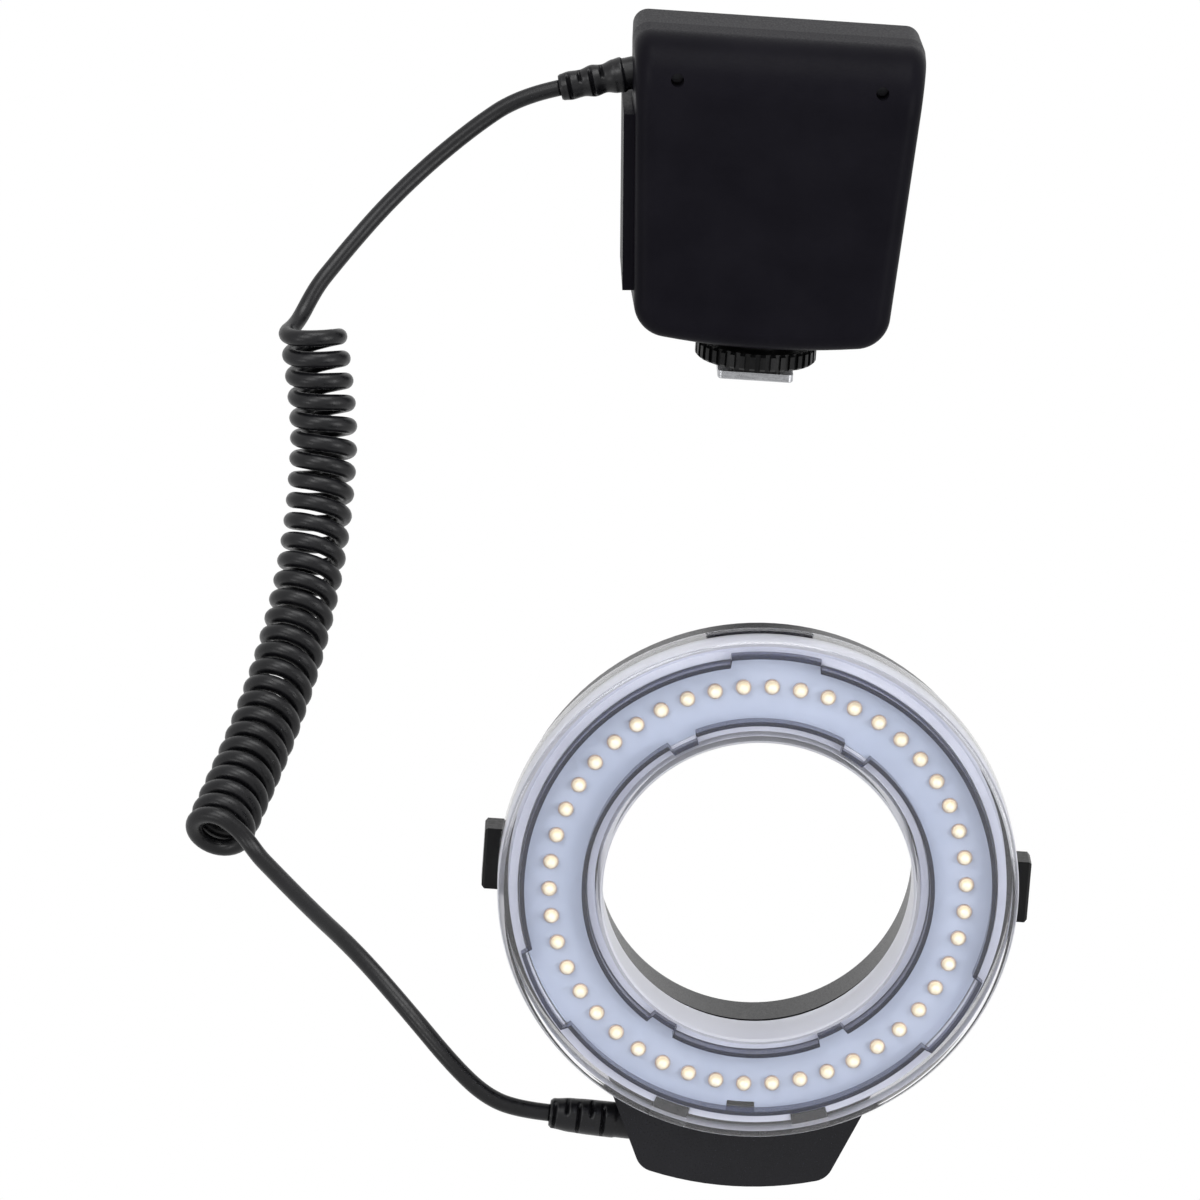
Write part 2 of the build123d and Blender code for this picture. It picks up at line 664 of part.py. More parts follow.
with BuildPart() as control_board:
    with BuildSketch(rear_plane(BOARD_REAR_Y)):
        with Locations((0, BOARD_BASE + BOARD_SHOULDER / 2)):
            Rectangle(BOARD_WIDTH, BOARD_SHOULDER)
        with Locations((0, BOARD_BASE + BOARD_HEIGHT / 2)):
            Rectangle(BOARD_NECK_WIDTH, BOARD_HEIGHT)
    extrude(amount=-BOARD_THICK)
    with BuildSketch(rear_plane(BOARD_REAR_Y)):
        with Locations(*[(-x, BUTTON_ROW_Z) for x in BUTTONS.values()]):
            Rectangle(TACT_SIZE, TACT_SIZE)
    extrude(amount=TACT_THICK)
control_board.part.label = "control_board"
export_step(control_board.part, "parts/control_board.step")

with BuildPart() as lcd_module:
    with BuildSketch(rear_plane(LCD_FRONT_Y)):
        with Locations((0, LCD_CENTRE_Z)):
            Rectangle(LCD_WIDTH + LCD_MARGIN, LCD_HEIGHT + LCD_MARGIN)
    extrude(amount=-LCD_THICK)
lcd_module.part.label = "lcd_module"
export_step(lcd_module.part, "parts/lcd_module.step")

with BuildPart() as lcd_window:
    with BuildSketch(rear_plane(REAR_Y)):
        with Locations((0, LCD_CENTRE_Z)):
            Rectangle(LCD_WIDTH + 2 * LCD_MARGIN, LCD_HEIGHT + 2 * LCD_MARGIN)
    extrude(amount=-WINDOW_THICK)
lcd_window.part.label = "lcd_window"
export_step(lcd_window.part, "parts/lcd_window.step")

for name, x in BUTTONS.items():
    with BuildPart() as button:
        with BuildSketch(rear_plane(FLANGE_REAR_Y)):
            with Locations((-x, BUTTON_ROW_Z)):
                Circle(BUTTON_FLANGE_R)
        extrude(amount=-BUTTON_FLANGE)
        with BuildSketch(rear_plane(FLANGE_REAR_Y)):
            with Locations((-x, BUTTON_ROW_Z)):
                Circle(BUTTON_R)
        extrude(amount=BODY_WALL + SLIDE_GAP + BUTTON_PROUD)
        chamfer(button.faces().sort_by(Axis.Y)[-1].edges(), FOOT_CHAMFER)
    button.part.label = name
    export_step(button.part, f"parts/{name}.step")

with BuildPart() as power_switch:
    with BuildSketch(rear_plane(FLANGE_REAR_Y)):
        with Locations((-SWITCH_X, BUTTON_ROW_Z)):
            Rectangle(SWITCH_FLANGE_WIDTH, SWITCH_FLANGE_HEIGHT)
    extrude(amount=-BUTTON_FLANGE)
    with BuildSketch(rear_plane(FLANGE_REAR_Y)):
        with Locations((-SWITCH_X, BUTTON_ROW_Z)):
            Rectangle(SWITCH_KNOB, SWITCH_HEIGHT)
    extrude(amount=BODY_WALL + SLIDE_GAP + BUTTON_PROUD)
    chamfer(power_switch.faces().sort_by(Axis.Y)[-1].edges(), FOOT_CHAMFER)
power_switch.part.label = "power_switch"
export_step(power_switch.part, "parts/power_switch.step")

# Hot-shoe foot with its locking wheel
RAIL_TOP = FOOT_THICK + RAIL_THICK
STEM_FLANGE_Z = base_floor(STEM_FLANGE_R) + SEAT_GAP
STEM_TOP = STEM_FLANGE_Z + STEM_FLANGE_THICK
FOOT_HOLES = GridLocations(FOOT_HOLE_SPACING_X, FOOT_HOLE_SPACING_Y, 2, 2)
UNDERSIDE = Plane(origin=(0, 0, 0), x_dir=(1, 0, 0), z_dir=(0, 0, -1))

with BuildPart() as shoe_plate:
    with BuildSketch():
        RectangleRounded(FOOT_WIDTH, FOOT_LENGTH, FOOT_CORNER)
        Circle(CONTACT_COLLAR_R + SPIGOT_WALL + FIT, mode=Mode.SUBTRACT)
    extrude(amount=FOOT_THICK)
    chamfer(shoe_plate.faces().sort_by(Axis.Z)[0].outer_wire().edges(), FOOT_CHAMFER)
    with Locations(UNDERSIDE):
        with FOOT_HOLES:
            CounterSinkHole(FOOT_SCREW_R + FIT, FOOT_SCREW_HEAD_R + FIT, depth=FOOT_THICK)
shoe_plate.part.label = "shoe_plate"
export_step(shoe_plate.part, "parts/shoe_plate.step")

with BuildPart() as foot_stem:
    with BuildSketch(Plane.XY.offset(FOOT_THICK)):
        RectangleRounded(STEM_NECK_WIDTH, FOOT_LENGTH, FOOT_CORNER)
    extrude(amount=RAIL_THICK)
    with BuildSketch(Plane.XY.offset(RAIL_TOP)):
        Circle(STEM_R)
    extrude(amount=STEM_TOP - RAIL_TOP)
    with BuildSketch(Plane.XY.offset(STEM_FLANGE_Z)):
        Circle(STEM_FLANGE_R)
    extrude(amount=STEM_FLANGE_THICK)
    with BuildSketch(Plane.XY.offset(SEAT_GAP)):
        Circle(CONTACT_COLLAR_R + SPIGOT_WALL)
    extrude(amount=FOOT_THICK - SEAT_GAP)
    with BuildSketch():
        Circle(CONTACT_R + FIT)
    extrude(amount=FOOT_THICK, mode=Mode.SUBTRACT)
    with BuildSketch(Plane.XY.offset(FOOT_THICK)):
        Circle(CONTACT_COLLAR_R + FIT)
    extrude(amount=CONTACT_WELL_DEPTH, mode=Mode.SUBTRACT)
    with BuildSketch():
        with FOOT_HOLES:
            Circle(FOOT_SCREW_R + SEAT_GAP)
    extrude(amount=FOOT_SCREW_LENGTH + FIT, mode=Mode.SUBTRACT)
foot_stem.part.label = "foot_stem"
export_step(foot_stem.part, "parts/foot_stem.step")

STANDING = (Align.CENTER, Align.CENTER, Align.MIN)
with BuildPart() as foot_screws:
    with Locations((0, 0, SEAT_GAP)):
        with FOOT_HOLES:
            Cylinder(FOOT_SCREW_R, FOOT_SCREW_LENGTH - SEAT_GAP, align=STANDING)
            Cone(FOOT_SCREW_HEAD_R, FOOT_SCREW_R, FOOT_SCREW_HEAD, align=STANDING)
foot_screws.part.label = "foot_screws"
export_step(foot_screws.part, "parts/foot_screws.step")

COLLAR_TOP = FOOT_THICK + CONTACT_COLLAR_THICK
WELL_TOP = FOOT_THICK + CONTACT_WELL_DEPTH
SPRING_R = CONTACT_COLLAR_R - SPRING_WIRE / 2
with BuildPart() as centre_contact:
    with BuildSketch(Plane.XY.offset(-CONTACT_PROUD)):
        Circle(CONTACT_R)
    extrude(amount=COLLAR_TOP + CONTACT_PROUD)
    chamfer(centre_contact.faces().sort_by(Axis.Z)[0].edges(), FOOT_CHAMFER)
    with BuildSketch(Plane.XY.offset(FOOT_THICK)):
        Circle(CONTACT_COLLAR_R)
    extrude(amount=CONTACT_COLLAR_THICK)
    with BuildSketch(Plane.XY.offset(COLLAR_TOP)):
        Circle(SPRING_R - SPRING_WIRE)
    extrude(amount=CONTACT_GUIDE)
centre_contact.part.label = "centre_contact"
export_step(centre_contact.part, "parts/centre_contact.step")

SPRING_RISE = WELL_TOP - COLLAR_TOP - SPRING_WIRE - 2 * SEAT_GAP
SPRING_BASE = (0, 0, COLLAR_TOP + SPRING_WIRE / 2 + SEAT_GAP)
with BuildPart() as contact_spring:
    with BuildLine():
        coil = Helix(SPRING_RISE / SPRING_TURNS, SPRING_RISE, SPRING_R, center=SPRING_BASE)
    with BuildSketch(Plane(origin=coil @ 0, z_dir=coil % 0)):
        Rectangle(SPRING_STRIP, SPRING_STRIP)
    sweep(path=coil, is_frenet=True)
contact_spring.part.label = "contact_spring"
export_step(contact_spring.part, "parts/contact_spring.step")

with BuildPart() as clamp_plate:
    with BuildSketch(Plane.XY.offset(RAIL_TOP)):
        rings(STEM_R + FIT, CLAMP_R)
    extrude(amount=CLAMP_THICK)
clamp_plate.part.label = "clamp_plate"
export_step(clamp_plate.part, "parts/clamp_plate.step")

WHEEL_BASE = RAIL_TOP + SLIDE_GAP
with BuildPart() as locking_ring:
    with BuildSketch(Plane.XY.offset(WHEEL_BASE)):
        Circle(WHEEL_R)
    extrude(amount=WHEEL_THICK)
    chamfer(locking_ring.edges(), WHEEL_EDGE)
    with BuildSketch(Plane.XY.offset(WHEEL_BASE)):
        with PolarLocations(WHEEL_R, WHEEL_RIBS):
            Rectangle(2 * WHEEL_RIB_DEPTH, math.pi * WHEEL_R / WHEEL_RIBS)
        Circle(STEM_R + FIT)
    extrude(amount=WHEEL_THICK, mode=Mode.SUBTRACT)
    with BuildSketch(Plane.XY.offset(WHEEL_BASE)):
        Circle(CLAMP_R + SLIDE_GAP)
    extrude(amount=RAIL_TOP + CLAMP_THICK + SEAT_GAP - WHEEL_BASE, mode=Mode.SUBTRACT)
locking_ring.part.label = "locking_ring"
export_step(locking_ring.part, "parts/locking_ring.step")


# Cord
def bend_radii(points):
    """Radius of each bend of a route, as wide as its shorter run lets it be."""
    radii = []
    for before, corner, after in zip(points, points[1:], points[2:]):
        run_in = corner - before
        run_out = after - corner
        half_turn = math.radians(run_in.get_angle(run_out)) / 2
        radii.append(0.45 * min(run_in.length, run_out.length) / math.tan(half_turn))
    return radii


UPPER_TIP = BOOT_UPPER_ROOT + BOOT_UPPER_DIR * BOOT_LENGTH
LOWER_TIP = BOOT_LOWER_ROOT + BOOT_LOWER_DIR * BOOT_LENGTH
UPPER_POINTS = [UPPER_TIP, UPPER_TIP + BOOT_UPPER_DIR * UPPER_LEAD] + [Vector(p) for p in UPPER_ROUTE]
LOWER_POINTS = [Vector(p) for p in LOWER_ROUTE] + [LOWER_TIP + BOOT_LOWER_DIR * LOWER_LEAD, LOWER_TIP]
AXIS_POINTS = [Vector(p) for p in AXIS_ROUTE]

with BuildPart() as cord_upper:
    with BuildLine():
        upper_path = FilletPolyline(*UPPER_POINTS, radius=bend_radii(UPPER_POINTS))
    with BuildSketch(Plane(origin=upper_path @ 0, z_dir=upper_path % 0)):
        Circle(CORD_D / 2)
    sweep(path=upper_path)
cord_upper.part.label = "cord_upper"
export_step(cord_upper.part, "parts/cord_upper.step")

with BuildPart() as cord_lower:
    with BuildLine():
        lower_path = FilletPolyline(*LOWER_POINTS, radius=bend_radii(LOWER_POINTS))
    with BuildSketch(Plane(origin=lower_path @ 0, z_dir=lower_path % 0)):
        Circle(CORD_D / 2)
    sweep(path=lower_path)
cord_lower.part.label = "cord_lower"
export_step(cord_lower.part, "parts/cord_lower.step")

with BuildLine() as axis_line:
    curl_axis = FilletPolyline(*AXIS_POINTS, radius=bend_radii(AXIS_POINTS))
AXIS_LENGTH = curl_axis.length
PITCH_GROWTH = (CURL_PITCH_END - CURL_PITCH_TOP) / CURL_PITCH_TOP
TURN_DENSITY = AXIS_LENGTH / (CURL_PITCH_END - CURL_PITCH_TOP)
ROUGH_TURNS = TURN_DENSITY * math.log(1 + PITCH_GROWTH)
END_SHARE = (CURL_END_TURN - CURL_START_TURN) / 360
CURL_TURNS = round(ROUGH_TURNS - END_SHARE) + END_SHARE


def curl_point(share):
    """Point of the curls' centre line at a share of their axis' length."""
    centre = curl_axis @ share
    along = curl_axis % share
    side = Vector(1, 0, 0) - along * along.X
    side = side.normalized()
    up = side.cross(along)
    turned = math.log(1 + PITCH_GROWTH * share) / math.log(1 + PITCH_GROWTH)
    angle = math.radians(CURL_START_TURN) + 2 * math.pi * CURL_TURNS * turned
    return centre + (side * math.cos(angle) + up * math.sin(angle)) * CURL_R


def curl_direction(share):
    """Unit direction of the curls' centre line at a share of their axis' length."""
    low = max(share - 0.0002, 0)
    high = min(share + 0.0002, 1)
    return (curl_point(high) - curl_point(low)).normalized()


def share_at(turned):
    """Share of the axis at which a share of the turns is done."""
    return ((1 + PITCH_GROWTH) ** turned - 1) / PITCH_GROWTH


def biarc(start, start_dir, end, end_dir):
    """Two tangent arcs that join a point and direction to another."""
    chord = end - start
    both = start_dir + end_dir
    spread = 2 * (1 - start_dir.dot(end_dir))
    along = chord.dot(both)
    reach = (math.sqrt(along**2 + spread * chord.dot(chord)) - along) / spread
    knee_in = start + start_dir * reach
    knee_out = end - end_dir * reach
    middle = (knee_in + knee_out) * 0.5
    first = TangentArc(start, middle, tangent=start_dir)
    second = TangentArc(middle, end, tangent=(knee_out - knee_in).normalized())
    return [first, second]


HALF_TURNS = round(2 * CURL_TURNS)
TOP_DIR = upper_path % 1
LOW_DIR = lower_path % 0
TOP_LEAD = [upper_path @ 1, upper_path @ 1 + TOP_DIR * CORD_D]
LOW_LEAD = [lower_path @ 0 - LOW_DIR * CORD_D, lower_path @ 0]
knots = [(TOP_LEAD[1], TOP_DIR)]
for step in range(HALF_TURNS + 1):
    share = share_at(step / HALF_TURNS)
    knots.append((curl_point(share), curl_direction(share)))
knots.append((LOW_LEAD[0], LOW_DIR))

with BuildPart() as cord_coil:
    with BuildLine() as curl_line:
        Line(*TOP_LEAD)
        for (start, start_dir), (end, end_dir) in zip(knots, knots[1:]):
            biarc(start, start_dir, end, end_dir)
        Line(*LOW_LEAD)
    with BuildSketch(Plane(origin=TOP_LEAD[0], z_dir=TOP_DIR)):
        RegularPolygon(CORD_D / 2, CURL_SIDES)
    sweep(path=curl_line.line, clean=False)
cord_coil.part.label = "cord_coil"
export_step(cord_coil.part, "parts/cord_coil.step")

CURL_SAMPLES = 24
trail = [curl_point(share_at(i / (HALF_TURNS * CURL_SAMPLES))) for i in range(HALF_TURNS * CURL_SAMPLES + 1)]
nearest = 1000.0
for i, point in enumerate(trail):
    for other in trail[i + CURL_SAMPLES : i + 3 * CURL_SAMPLES]:
        nearest = min(nearest, (point - other).length)
print("curls:", round(CURL_TURNS, 3), "turns, least gap to itself", round(nearest - CORD_D, 3), "mm")
for name, points in (("upper", UPPER_POINTS), ("axis", AXIS_POINTS), ("lower", LOWER_POINTS)):
    print(name, "bend radii", [round(r, 1) for r in bend_radii(points)])
print("section x length", [round(math.pi * CORD_D**2 / 4 * p.length, 1) for p in (upper_path, lower_path)])
print("tube volumes", round(cord_upper.part.volume, 1), round(cord_lower.part.volume, 1))
print("coil length", round(curl_line.wires()[0].length, 1), "volume", round(cord_coil.part.volume, 1))

# Strain reliefs
BOOT_RIBS = BOOT_LENGTH - BOOT_COLLAR - BOOT_CONE
BOOT_CONE_R = (BOOT_ROOT_R + BOOT_TIP_R) / 2


def boot_body(root, direction, grip):
    """Strain relief: flange inside the wall, collar, cone and grooved sleeve."""
    sleeve = BOOT_COLLAR + BOOT_CONE
    cone_base = boot_disc(root, direction, BOOT_COLLAR, BOOT_ROOT_R - FIT)
    cone_top = boot_disc(root, direction, sleeve, BOOT_CONE_R)
    extrude(boot_disc(root, direction, -grip, BOOT_ROOT_R), amount=grip + BOOT_COLLAR)
    extrude(boot_disc(root, direction, -grip, BOOT_FLANGE_R), amount=-BOOT_FLANGE)
    loft([cone_base.face(), cone_top.face()])
    loft([cone_top.face(), boot_disc(root, direction, BOOT_LENGTH, BOOT_TIP_R).face()])
    for groove in range(BOOT_GROOVES):
        station = sleeve + BOOT_RIBS * (groove + 0.25) / BOOT_GROOVES
        cutter = boot_disc(root, direction, station, BOOT_ROOT_R, BOOT_TIP_R - BOOT_GROOVE_DEPTH)
        extrude(cutter, amount=BOOT_GROOVE, mode=Mode.SUBTRACT)


with BuildPart() as cord_boot_upper:
    boot_body(BOOT_UPPER_ROOT, BOOT_UPPER_DIR, BOOT_UPPER_GRIP)
cord_boot_upper.part.label = "cord_boot_upper"
export_step(cord_boot_upper.part, "parts/cord_boot_upper.step")

with BuildPart() as cord_boot_lower:
    boot_body(BOOT_LOWER_ROOT, BOOT_LOWER_DIR, BOOT_LOWER_GRIP)
cord_boot_lower.part.label = "cord_boot_lower"
export_step(cord_boot_lower.part, "parts/cord_boot_lower.step")

# Clear cover
COVER_INSIDE_Y = COVER_FRONT_Y + COVER_WALL
RIM_RIDGE_R = LAMP_BOARD_OUT_R - FIT
HUB_RIDGE_R = LAMP_BOARD_IN_R + FIT
with BuildPart() as clear_cover:
    with BuildSketch(RING_SECTION):
        section_box(COVER_FRONT_Y, COVER_INSIDE_Y, OPENING_R, RING_R)
        section_box(COVER_FRONT_Y, COVER_SKIRT_Y, RING_R - COVER_WALL, RING_R)
        section_box(COVER_FRONT_Y, COVER_HUB_Y, OPENING_R, OPENING_R + COVER_WALL)
    revolve(axis=RING_AXIS)
    front_edges = clear_cover.edges().group_by(Axis.Y)[0].sort_by(SortBy.RADIUS)
    chamfer(front_edges[-1], COVER_RIM_EDGE)
    chamfer(front_edges[0], COVER_HUB_EDGE)
    with BuildSketch(ring_plane(LAMP_Y - SEAT_GAP)):
        rings(RIM_RIDGE_R - RIDGE_THICK, RIM_RIDGE_R)
        for turn in RIM_NOTCH_TURNS:
            add(sector(LAMP_BOARD_IN_R + RIDGE_THICK, RING_R, turn, RIM_NOTCH_ANGLE), mode=Mode.SUBTRACT)
    extrude(amount=LAMP_Y - SEAT_GAP - COVER_INSIDE_Y)
    with BuildSketch(ring_plane(LAMP_Y - SEAT_GAP)):
        rings(HUB_RIDGE_R, HUB_RIDGE_R + RIDGE_THICK)
        for turn in HUB_NOTCH_TURNS:
            add(sector(OPENING_R, LED_CIRCLE_R, turn, HUB_NOTCH_ANGLE), mode=Mode.SUBTRACT)
    extrude(amount=LAMP_Y - SEAT_GAP - COVER_INSIDE_Y)
    with BuildSketch(ring_plane(TRAY_FRONT_Y - SLIDE_GAP)):
        for turn in RIM_NOTCH_TURNS:
            jog_in = RIM_RIDGE_R - RIDGE_THICK
            jog_out = RIM_RIDGE_R + RIDGE_STEP
            add(sector(jog_out - RIDGE_THICK, jog_out, turn, RIM_NOTCH_ANGLE + 2 * JOG_ANGLE))
            add(sector(jog_in, jog_out, turn - RIM_NOTCH_ANGLE / 2 - JOG_ANGLE / 2, JOG_ANGLE))
            add(sector(jog_in, jog_out, turn + RIM_NOTCH_ANGLE / 2 + JOG_ANGLE / 2, JOG_ANGLE))
        for turn in HUB_NOTCH_TURNS:
            jog_in = HUB_RIDGE_R - RIDGE_STEP
            jog_out = HUB_RIDGE_R + RIDGE_THICK
            add(sector(jog_in, jog_in + RIDGE_THICK, turn, HUB_NOTCH_ANGLE + 2 * JOG_ANGLE))
            add(sector(jog_in, jog_out, turn - HUB_NOTCH_ANGLE / 2 - JOG_ANGLE / 2, JOG_ANGLE))
            add(sector(jog_in, jog_out, turn + HUB_NOTCH_ANGLE / 2 + JOG_ANGLE / 2, JOG_ANGLE))
    extrude(amount=TRAY_FRONT_Y - SLIDE_GAP - COVER_INSIDE_Y)
    with BuildSketch(ring_plane(SNAP_FRONT_Y + 2 * SNAP_HOOK + SLIDE_GAP)):
        for turn in (180 - SNAP_TURN, 180 + SNAP_TURN):
            add(sector(SNAP_OUT_R, RING_R + 1, turn, SNAP_ANGLE + SNAP_PLAY))
    extrude(amount=SNAP_HOOK + 2 * SLIDE_GAP, mode=Mode.SUBTRACT)
clear_cover.part.label = "clear_cover"
export_step(clear_cover.part, "parts/clear_cover.step")

# Lamps, their board and tray
with BuildPart() as led_board:
    with BuildSketch(ring_plane(LAMP_Y)):
        rings(LAMP_BOARD_IN_R, LAMP_BOARD_OUT_R)
        add(sector(LAMP_BOARD_OUT_R - WIRE_NOTCH, RING_R, 180, WIRE_NOTCH_ANGLE), mode=Mode.SUBTRACT)
    extrude(amount=-LAMP_BOARD_THICK)
led_board.part.label = "led_board"
export_step(led_board.part, "parts/led_board.step")

with BuildPart() as leds:
    with BuildSketch(ring_plane(LAMP_Y)):
        for lamp in range(LED_COUNT):
            turn = LED_FIRST_TURN + lamp * 360 / LED_COUNT
            with Locations(ring_point(LED_CIRCLE_R, turn)):
                RegularPolygon(LED_R, LED_SIDES, rotation=-turn)
    extrude(amount=LED_HEIGHT, taper=LED_TAPER)
leds.part.label = "leds"
export_step(leds.part, "parts/leds.step")

TRAY_FLOOR_Y = LAMP_Y + LAMP_BOARD_THICK + SEAT_GAP
with BuildPart() as led_tray:
    with BuildSketch(RING_SECTION):
        section_box(TRAY_FLOOR_Y, TRAY_FLOOR_Y + TRAY_FLOOR, TRAY_IN_R, TRAY_OUT_R)
        section_box(TRAY_FRONT_Y, CASE_FRONT_Y - SEAT_GAP, TRAY_OUT_R - TRAY_RIM, TRAY_OUT_R)
        section_box(TRAY_FRONT_Y, CASE_FRONT_Y - SEAT_GAP, TRAY_IN_R, LAMP_BOARD_IN_R - FIT)
    revolve(axis=RING_AXIS)
    with BuildSketch(ring_plane(CASE_FRONT_Y)):
        add(sector(LAMP_BOARD_OUT_R - WIRE_NOTCH, LAMP_BOARD_OUT_R, 180, WIRE_NOTCH_ANGLE))
        for turn in (180 - SNAP_TURN, 180 + SNAP_TURN):
            add(sector(SNAP_IN_R - SLIDE_GAP, RING_R, turn, SNAP_ANGLE + SNAP_PLAY))
    extrude(amount=CASE_FRONT_Y - TRAY_FRONT_Y, mode=Mode.SUBTRACT)
led_tray.part.label = "led_tray"
export_step(led_tray.part, "parts/led_tray.step")


# Black case
def boss_outline(inset):
    """Front view of the bottom housing, drawn smaller all round by an inset."""
    reach = math.sqrt(BOSS_R**2 - BOSS_BASE_HALF**2)
    with BuildSketch(mode=Mode.PRIVATE) as face:
        with BuildLine():
            Polyline(
                (-BOSS_BASE_HALF, -reach),
                (-BOSS_TOP_HALF, -BOSS_TOP_DROP),
                (BOSS_TOP_HALF, -BOSS_TOP_DROP),
                (BOSS_BASE_HALF, -reach),
            )
            ThreePointArc((-BOSS_BASE_HALF, -reach), (0, -BOSS_R), (BOSS_BASE_HALF, -reach))
        make_face()
        fillet(face.vertices().filter_by(lambda v: v.Y < -BOSS_TOP_DROP - 1), BOSS_CORNER)
        if inset > 0:
            offset(amount=-inset)
    return face.sketch


POST_POINTS = [ring_point(COVER_POST_CIRCLE_R, turn) for turn in COVER_POST_TURNS]
POST_POINTS += [(-BOSS_POST_X, -BOSS_POST_DROP), (BOSS_POST_X, -BOSS_POST_DROP)]
CASE_DEPTH = CASE_REAR_Y - CASE_SHOULDER_Y
with BuildPart() as ring_case:
    with BuildSketch(RING_SECTION):
        with BuildLine():
            Polyline(
                (CASE_FRONT_Y, CASE_BORE_R),
                (CASE_FRONT_Y, CASE_LIP_R),
                (CASE_SHOULDER_Y, CASE_LIP_R),
                (CASE_SHOULDER_Y, CASE_R),
                (CASE_DRAFT_Y, CASE_LIP_R),
                (CASE_REAR_Y, CASE_REAR_R),
                (CASE_REAR_Y, CASE_BORE_R),
                close=True,
            )
        make_face()
    revolve(axis=RING_AXIS)
    with BuildSketch(ring_plane(CASE_REAR_Y)):
        add(boss_outline(0))
        Circle(CASE_LIP_R - 1, mode=Mode.SUBTRACT)
    extrude(amount=CASE_DEPTH)
    with BuildSketch(ring_plane(CASE_REAR_Y)):
        Circle(CASE_CAVITY_R)
    extrude(amount=CASE_REAR_Y - COLLAR_END_Y, mode=Mode.SUBTRACT)
    with BuildSketch(ring_plane(CASE_REAR_Y)):
        rings(CASE_BORE_R + CASE_COLLAR, CASE_CAVITY_R)
    extrude(amount=CASE_DEPTH, mode=Mode.SUBTRACT)
    with BuildSketch(ring_plane(CASE_REAR_Y)):
        add(boss_outline(BOSS_WALL))
        Circle(CASE_CAVITY_R - BOSS_WALL, mode=Mode.SUBTRACT)
    extrude(amount=CASE_DEPTH - BOSS_WALL, mode=Mode.SUBTRACT)
    with BuildSketch(ring_plane(GUIDE_END_Y)):
        rings(GUIDE_IN_R, GUIDE_OUT_R)
    extrude(amount=GUIDE_END_Y - CASE_SHOULDER_Y)
    with BuildSketch(ring_plane(CASE_REAR_Y)):
        with Locations(*POST_POINTS):
            Circle(COVER_POST_R)
    extrude(amount=CASE_DEPTH)
    with BuildSketch(ring_plane(CASE_REAR_Y)):
        with Locations(*POST_POINTS):
            Circle(COVER_SCREW_R + SEAT_GAP)
    extrude(amount=COVER_SCREW_LENGTH, mode=Mode.SUBTRACT)
    window_x = CASE_CAVITY_R + CASE_WALL / 2
    with BuildSketch(ring_plane(BUTTON_REAR_Y + SLIDE_GAP)):
        with Locations((window_x, 0), (-window_x, 0)):
            Rectangle(CASE_WALL + 2 * BUTTON_FLANGE_WIDTH, 2 * (BUTTON_HALF + SLIDE_GAP))
    extrude(amount=BUTTON_REAR_Y - BUTTON_FRONT_Y + 2 * SLIDE_GAP, mode=Mode.SUBTRACT)
    with BuildSketch(ring_plane(CASE_REAR_Y)):
        stop_x = LUG_HALF + RELEASE_SPRING_LENGTH + RELEASE_STOP / 2
        with Locations((-stop_x, -RELEASE_SPRING_DROP), (stop_x, RELEASE_SPRING_DROP)):
            Rectangle(RELEASE_STOP, 2 * (RELEASE_SPRING_R + SPRING_WIRE))
    extrude(amount=CASE_DEPTH)
    with BuildSketch(ring_plane(CASE_FRONT_Y)):
        for turn in (180 - SNAP_TURN, 180 + SNAP_TURN):
            add(sector(SNAP_IN_R, SNAP_OUT_R, turn, SNAP_ANGLE))
    extrude(amount=CASE_FRONT_Y - SNAP_FRONT_Y)
    with BuildSketch(ring_plane(SNAP_FRONT_Y + 2 * SNAP_HOOK)):
        for turn in (180 - SNAP_TURN, 180 + SNAP_TURN):
            add(sector(SNAP_IN_R, SNAP_HOOK_R, turn, SNAP_ANGLE))
    extrude(amount=SNAP_HOOK)
    with BuildSketch(ring_plane(CASE_SHOULDER_Y)):
        add(sector(LAMP_BOARD_OUT_R - WIRE_NOTCH, LAMP_BOARD_OUT_R, 180, WIRE_NOTCH_ANGLE))
    extrude(amount=CASE_SHOULDER_Y - CASE_FRONT_Y, mode=Mode.SUBTRACT)
    cut_boot_hole(BOOT_LOWER_ROOT, BOOT_LOWER_DIR)
ring_case.part.label = "ring_case"
export_step(ring_case.part, "parts/ring_case.step")

COVER_REAR_Y = CASE_REAR_Y + REAR_COVER_THICK
with BuildPart() as rear_cover:
    with BuildSketch(ring_plane(COVER_REAR_Y)):
        Circle(CASE_REAR_R)
        add(boss_outline(0))
        Circle(REAR_COVER_BORE_R, mode=Mode.SUBTRACT)
        with Locations(*POST_POINTS):
            Circle(COVER_SCREW_R + FIT, mode=Mode.SUBTRACT)
    extrude(amount=REAR_COVER_THICK)
    with BuildSketch(ring_plane(COVER_REAR_Y)):
        with Locations(*POST_POINTS):
            Circle(COVER_SCREW_HEAD_R + FIT)
    extrude(amount=COVER_SCREW_HEAD, mode=Mode.SUBTRACT)
rear_cover.part.label = "rear_cover"
export_step(rear_cover.part, "parts/rear_cover.step")

COVER_HEAD_Y = COVER_REAR_Y - COVER_SCREW_HEAD
with BuildPart() as cover_screws:
    with BuildSketch(ring_plane(COVER_HEAD_Y)):
        with Locations(*POST_POINTS):
            Circle(COVER_SCREW_HEAD_R)
    extrude(amount=-COVER_SCREW_HEAD)
    with BuildSketch(ring_plane(COVER_HEAD_Y)):
        with Locations(*POST_POINTS):
            Circle(COVER_SCREW_R)
    extrude(amount=COVER_SCREW_LENGTH)
cover_screws.part.label = "cover_screws"
export_step(cover_screws.part, "parts/cover_screws.step")

